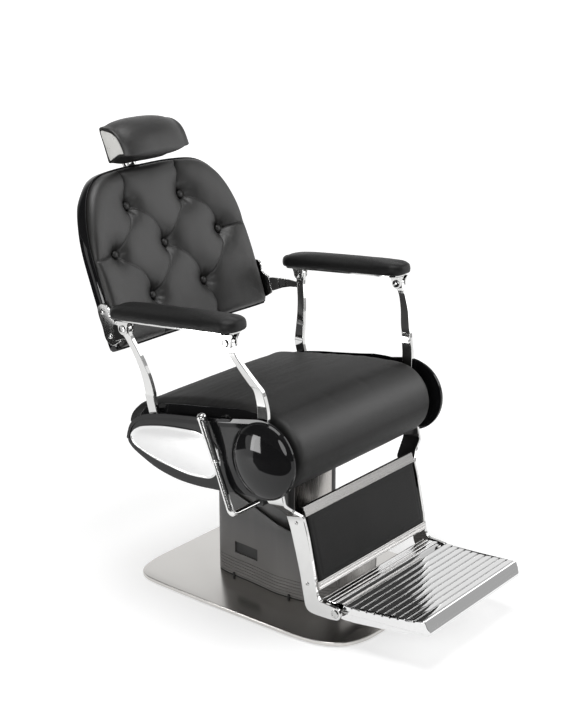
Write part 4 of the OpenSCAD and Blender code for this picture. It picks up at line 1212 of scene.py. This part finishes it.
# trims
top = np.array([[-173, 285], [-174.2, 284.6], [-182, 266.2], [-181.6, 265], [-176.5, 265], [-168, 284.4], [-168.6, 285]])
bot = cr([[-206, 130], [-215, 130.2], [-216.6, 128.6], [-217.6, 125.4], [-217.4, 122.8], [-216.0, 121.2], [-215.8, 119.6], [-217.4, 118.6], [-218.4, 116.4],
    [-218.0, 113.6], [-216.4, 112.2], [-206, 112]], 4)
parts = [prism(top, yz, -197, 197), prism(bot, yz, -197, 197)]
V, F = merge(*parts)
o = add("leg_trim_rails", V, F, M_TRIM, "legrest", "trim_satin", ["leg_trims"], 35)
bevel(o, 0.5, 2, 50)

# ------------------------------------------------------------------ footrest
top_line = np.array([[-216, 90], [-258, 93], [-276, 95], [-300, 95.5], [-380, 100.5], [-440, 107], [-462, 111.2]], float)
bot_line = np.array([[-230, 66], [-262, 62], [-276, 61.5], [-300, 63], [-380, 70], [-440, 76.5], [-466, 79.5], [-472, 82]], float)
fhalf = np.array([[-217, 189], [-262, 191], [-277, 193], [-330, 190.5], [-400, 185], [-450, 179.5], [-466, 177.5], [-471, 173]], float)


def fhw(y):
    return np.interp(-y, -fhalf[:, 0], fhalf[:, 1])


def ftop(y):
    return np.interp(-y, -top_line[:, 0], top_line[:, 1])


# tread: flat lands, hardly crowned, parted by narrow grooves
land = ((0.0, -2.3), (0.03, -2.3), (0.055, -1.1), (0.075, -0.45), (0.10, -0.18), (0.14, -0.08), (0.30, 0.08), (0.5, 0.14), (0.70, 0.08), (0.83, -0.08), (0.865, -0.2), (0.89, -0.5), (0.91, -1.1), (0.94, -2.2), (0.965, -2.3))
prof = []
prof.append((-216.2, 89.2))
rear_ribs = [-219, -231, -243, -255]
for a, b in zip(rear_ribs[:-1], rear_ribs[1:]):
    for f, d in land:
        y = a + (b - a)*f
        prof.append((y, ftop(y) + d))
prof += [(-256, ftop(-256) - 2.4), (-262, 89.6), (-264.4, 84.2), (-271.6, 84.0), (-273.4, 91.8), (-275, 93.4)]
crests = [-277.0 - 17.8*i for i in range(11)]
for i in range(10):
    a, b = crests[i], crests[i+1]
    for f, d in land:
        y = a + (b - a)*f
        prof.append((y, ftop(y) + d))
prof += [(-455.3, ftop(-455.3) - 2.7), (-456.2, 110.6), (-457.4, 111.2), (-458.8, 111.1), (-460.0, 110.0), (-461.0, 108.0), (-465.6, 98.0), (-470.6, 87.2), (-471.6, 84.6), (-471.8, 82.4), (-470.6, 80.4), (-468.5, 79.7)]
bl = [(-466, 79.5), (-440, 76.5), (-380, 70), (-300, 63), (-276, 61.5), (-262, 62), (-230, 66), (-217.4, 69.6), (-216.2, 71.5)]
prof += bl
prof = np.array(prof)
R = []
edge_in = [(0.0, 1.2), (0.35, 0.45), (1.2, 0.0)]
npf = len(prof)
pnrm = normals2(prof)


def fring(inx, ind, sgn):
    P = prof - pnrm*ind
    w = fhw(P[:, 0]) - inx
    return np.stack([sgn*w, P[:, 0], P[:, 1]], -1)


for inx, ind in edge_in:
    R.append(fring(inx, ind, -1))
for t_ in np.linspace(-0.9, 0.9, 9):
    P = prof
    w = fhw(P[:, 0]) - 1.2
    R.append(np.stack([t_*w, P[:, 0], P[:, 1]], -1))
for inx, ind in edge_in[::-1]:
    R.append(fring(inx, ind, 1))
V, F = rings(R)
o = add("footrest_tread", V, F, M_ALU, "footrest", "footrest_alu", ["footrest_plate"], 20)

# ------------------------------------------------------------------ headrest
hp = np.array([[470, 988], [449, 992], [428, 989], [408, 978], [393, 960], [382, 935], [381, 926], [388, 919], [404, 918], [427, 906], [437, 900], [444, 904], [452, 926], [463, 956], [470, 975]], float)
hpl = resample(cr(hp, 10, True), 160, True)
ep = np.array([[463, 976], [448, 978.5], [428, 975], [411, 965], [399, 948], [392, 934], [396, 930.5], [407, 928.5], [427, 916], [434, 912], [440, 920], [450, 944]], float)
epl = resample(cr(ep, 10, True), 160, True)
k0 = [int(np.argmin(np.linalg.norm(epl - p, axis=1))) for p in (hpl[0],)][0]
epl = np.roll(epl, -k0, 0)
if np.sign(area2(epl)) != np.sign(area2(hpl)):
    epl = np.roll(epl[::-1], 1, 0)
hc = np.array([430, 950.0])
R = []
lipring = [(101.0, None), (102.5, 0.0), (104.4, 0.22), (105.0, 0.5), (104.2, 0.76), (101.6, 0.92), (97.5, 0.98), (92, 1.0)]
side_r = []
hn = normals2(hpl)
wt = 0.80 + 0.20*smoothstep(-0.5, 0.4, hn[:, 1])
hend = hpl - hn*(7.6*wt)[:, None]
ec = epl.mean(0)
epl = ec + (epl - ec)*0.96 + np.array([0, -1.0])
for x, f in lipring:
    P = epl if f is None else epl + (hend - epl)*f
    side_r.append((x, P))
for x, P in side_r:
    R.append(yz(P[:, 0], P[:, 1], -x))
hn = normals2(hpl)
wt = 0.80 + 0.20*smoothstep(-0.5, 0.4, hn[:, 1])
low = smoothstep(396, 424, hpl[:, 0])*smoothstep(0.0, -0.6, hn[:, 1])    # the underside stays flat over the back
for x in np.linspace(-85, 85, 19):
    k_ = 7.2*(abs(x)/90)**4 - 4.2*(1 - (x/90)**2)
    g_ = k_*wt if k_ > 0 else k_*wt*(1 - 0.85*low)
    R.append(yz(*(hpl - hn*g_[:, None]).T, x))
for x, P in side_r[::-1]:
    R.append(yz(P[:, 0], P[:, 1], x))
V, F = rings(R)
hr = add("headrest_leather", V, F, M_HEAD, "headrest", "leather", ["headrest_pad"], 60)
ss = hr.modifiers.new("sub", "SUBSURF")
ss.levels = ss.render_levels = 1
ev(hr)
displace(hr, lambda P, n: (nz(P, 45, 6.1)*0.6 + nz(P, (30, 10, 10), 2.4)*0.15)*np.clip((104 - np.abs(P[:, 0]))/6, 0, 1))
for p in hr.data.polygons:
    p.use_smooth = True
parts = []
for sgn in (-1, 1):
    R = []
    for d, x in ((0.8, 101.2), (0.5, 101.6), (0.5, 102.9), (1.0, 103.4)):
        R.append(yz(*inset2(epl, d).T, sgn*x))
    for s_ in (0.9, 0.7, 0.5, 0.3, 0.1, 0.004):
        P = hc + (inset2(epl, 1.0) - hc)*s_
        R.append(yz(P[:, 0], P[:, 1], sgn*(103.4 + 0.5*(1 - s_*s_))))
    parts.append(rings(R))
V, F = merge(*parts)
add("headrest_end_plates", V, F, M_PLATE2, "headrest", "chrome", ["headrest_plates"], 40)

# ------------------------------------------------------------------ CAD nodes that show
for row in frame["record"]["subparts"]:
    ob = N[row["node"]]
    ob.data.materials.clear()
    ob.data.materials.append(SLOT_MAT[row["material_slot"]])
    for p in ob.data.polygons:
        p.use_smooth = True
    w = ob.modifiers.new("weld", "WELD")
    w.merge_threshold = 2e-5
    bevel(ob, 0.5, 2, 32)

# ------------------------------------------------------------------ stage, light, camera
fm, nt, b = new_mat("studio_floor")
nn = noise_tex(nt, coords(nt), 0.6, 2)
nt.links.new(ramp(nt, nn, [(0.0, (0.70, 0.70, 0.70)), (1.0, (0.72, 0.72, 0.72))]), b.inputs["Base Color"])
b.inputs["Roughness"].default_value = 0.85
b.inputs["Specular IOR Level"].default_value = 0.1
b.inputs["Emission Color"].default_value = (1, 1, 1, 1)
ln = nt.nodes.new("ShaderNodeVectorMath")
ln.operation = "LENGTH"
nt.links.new(coords(nt), ln.inputs[0])
glow = ramp(nt, maprange(nt, ln.outputs["Value"], 0.0, 6.0, 0.0, 1.0), [(0.0, (0.47,)*3), (0.09, (0.51,)*3), (0.18, (0.54,)*3), (0.30, (0.62,)*3), (0.60, (0.88,)*3), (1.0, (0.99,)*3)])
nt.links.new(glow, b.inputs["Emission Color"])
b.inputs["Emission Strength"].default_value = 1.0
me = bpy.data.meshes.new("floor")
me.from_pydata([(-60, -60, 0), (60, -60, 0), (60, 60, 0), (-60, 60, 0)], [], [(0, 1, 2, 3)])
fl = bpy.data.objects.new("floor", me)
coll.objects.link(fl)
me.materials.append(fm)

world = bpy.data.worlds.new("studio")
scene.world = world
world.use_nodes = True
nt = world.node_tree
bg = nt.nodes["Background"]
tc = nt.nodes.new("ShaderNodeTexCoord")
sep = nt.nodes.new("ShaderNodeSeparateXYZ")
nt.links.new(tc.outputs["Generated"], sep.inputs["Vector"])
dot = nt.nodes.new("ShaderNodeVectorMath")
dot.operation = "DOT_PRODUCT"
nt.links.new(tc.outputs["Generated"], dot.inputs[0])
dot.inputs[1].default_value = (0.80, 0.60, 0.0)
behind = maprange(nt, dot.outputs["Value"], 0.30, 0.72, 0.0, 1.0)
room = ramp(nt, sep.outputs["Z"], [(0.0, (0.09, 0.09, 0.09)), (0.05, (0.075, 0.075, 0.076)), (0.3, (0.06, 0.06, 0.061)), (0.7, (0.10, 0.10, 0.10)), (1.0, (0.30, 0.30, 0.30))])
cyc = ramp(nt, sep.outputs["Z"], [(0.0, (1.0, 1.0, 1.0)), (0.42, (0.97, 0.97, 0.97)), (0.66, (0.40, 0.40, 0.40)), (1.0, (0.30, 0.30, 0.30))])
mixc = nt.nodes.new("ShaderNodeMix")
mixc.data_type = "RGBA"
nt.links.new(behind, mixc.inputs[0])
dot2 = nt.nodes.new("ShaderNodeVectorMath")
dot2.operation = "DOT_PRODUCT"
nt.links.new(tc.outputs["Generated"], dot2.inputs[0])
dot2.inputs[1].default_value = (0.72, -0.66, 0.21)
fill = maprange(nt, dot2.outputs["Value"], 0.86, 0.965, 0.0, 1.0)
mixf = nt.nodes.new("ShaderNodeMix")
mixf.data_type = "RGBA"
nt.links.new(fill, mixf.inputs[0])
nt.links.new(room, mixf.inputs[6])
mixf.inputs[7].default_value = (0.50, 0.50, 0.50, 1)
nt.links.new(mixf.outputs[2], mixc.inputs[6])
nt.links.new(cyc, mixc.inputs[7])
nt.links.new(mixc.outputs[2], bg.inputs["Color"])
bg.inputs["Strength"].default_value = 1.0


def area(name, loc, target, size, power, shape="RECTANGLE"):
    ld = bpy.data.lights.new(name, "AREA")
    ld.shape = shape
    ld.size = size[0]
    ld.size_y = size[1]
    ld.energy = power
    lo_ = bpy.data.objects.new(name, ld)
    coll.objects.link(lo_)
    lo_.location = loc
    d = Vector(target) - Vector(loc)
    lo_.rotation_mode = "QUATERNION"
    lo_.rotation_quaternion = d.to_track_quat("-Z", "Y")
    return lo_


area("top_soft", (-0.25, -0.05, 3.2), (0, -0.05, 0.0), (2.0, 1.8), 58)
area("dome_strip", (-1.357, 0.78, 0.31), (-0.285, -0.12, 0.42), (0.27, 0.40), 3.4)
area("dome_round", (-2.56, -0.815, 1.17), (-0.28, -0.12, 0.40), (1.3, 1.3), 22, "DISK")
area("key_soft", (2.1, -1.9, 1.75), (0, 0, 0.7), (1.7, 1.9), 26)

# a black card lying left of the chair, out of the picture, that only mirrors and glossy faces see
cm, nt, b = new_mat("flag_card")
nt.links.new(ramp(nt, noise_tex(nt, coords(nt), 4, 3), [(0.3, (0.010, 0.010, 0.010)), (0.7, (0.016, 0.016, 0.015))]), b.inputs["Base Color"])
b.inputs["Roughness"].default_value = 0.9
me = bpy.data.meshes.new("flag")
fa = [(-1.02, -1.4), (-1.02, 0.45), (-1.12, 0.65), (-1.27, 0.79), (-1.42, 0.92), (-3.0, 2.25), (-4.5, 3.6), (-58, 46), (-58, -48), (-20, -30), (-2.4, -3.6)]
fb = [(-1.42, 1.30), (-1.0, 1.30), (-0.5, 1.25), (0.2, 1.6), (0.2, 48), (-35, 47), (-4.5, 6.0), (-2.9, 3.6)]
me.from_pydata([(x_, y_, 0.012) for x_, y_ in fa + fb], [], [tuple(range(len(fa))), tuple(range(len(fa), len(fa) + len(fb)))])
fg = bpy.data.objects.new("flag", me)
coll.objects.link(fg)
me.materials.append(cm)
fg.visible_camera = False
fg.visible_diffuse = False
fg.visible_shadow = False

cam = bpy.data.cameras.new("camera")
co = bpy.data.objects.new("camera", cam)
coll.objects.link(co)
az, el = math.radians(-51.767), math.radians(17.513)
bk = Vector((math.sin(az)*math.cos(el), -math.cos(az)*math.cos(el), math.sin(el)))
co.location = (-2.39666, -1.86772, 1.47374)
co.rotation_mode = "QUATERNION"
co.rotation_quaternion = (-bk).to_track_quat("-Z", "Y")
cam.sensor_fit = "AUTO"
cam.sensor_width = 36
cam.lens = 74.165
cam.clip_start = 0.05
cam.clip_end = 300
scene.camera = co
scene.view_settings.view_transform = "Standard"
scene.view_settings.look = "None"
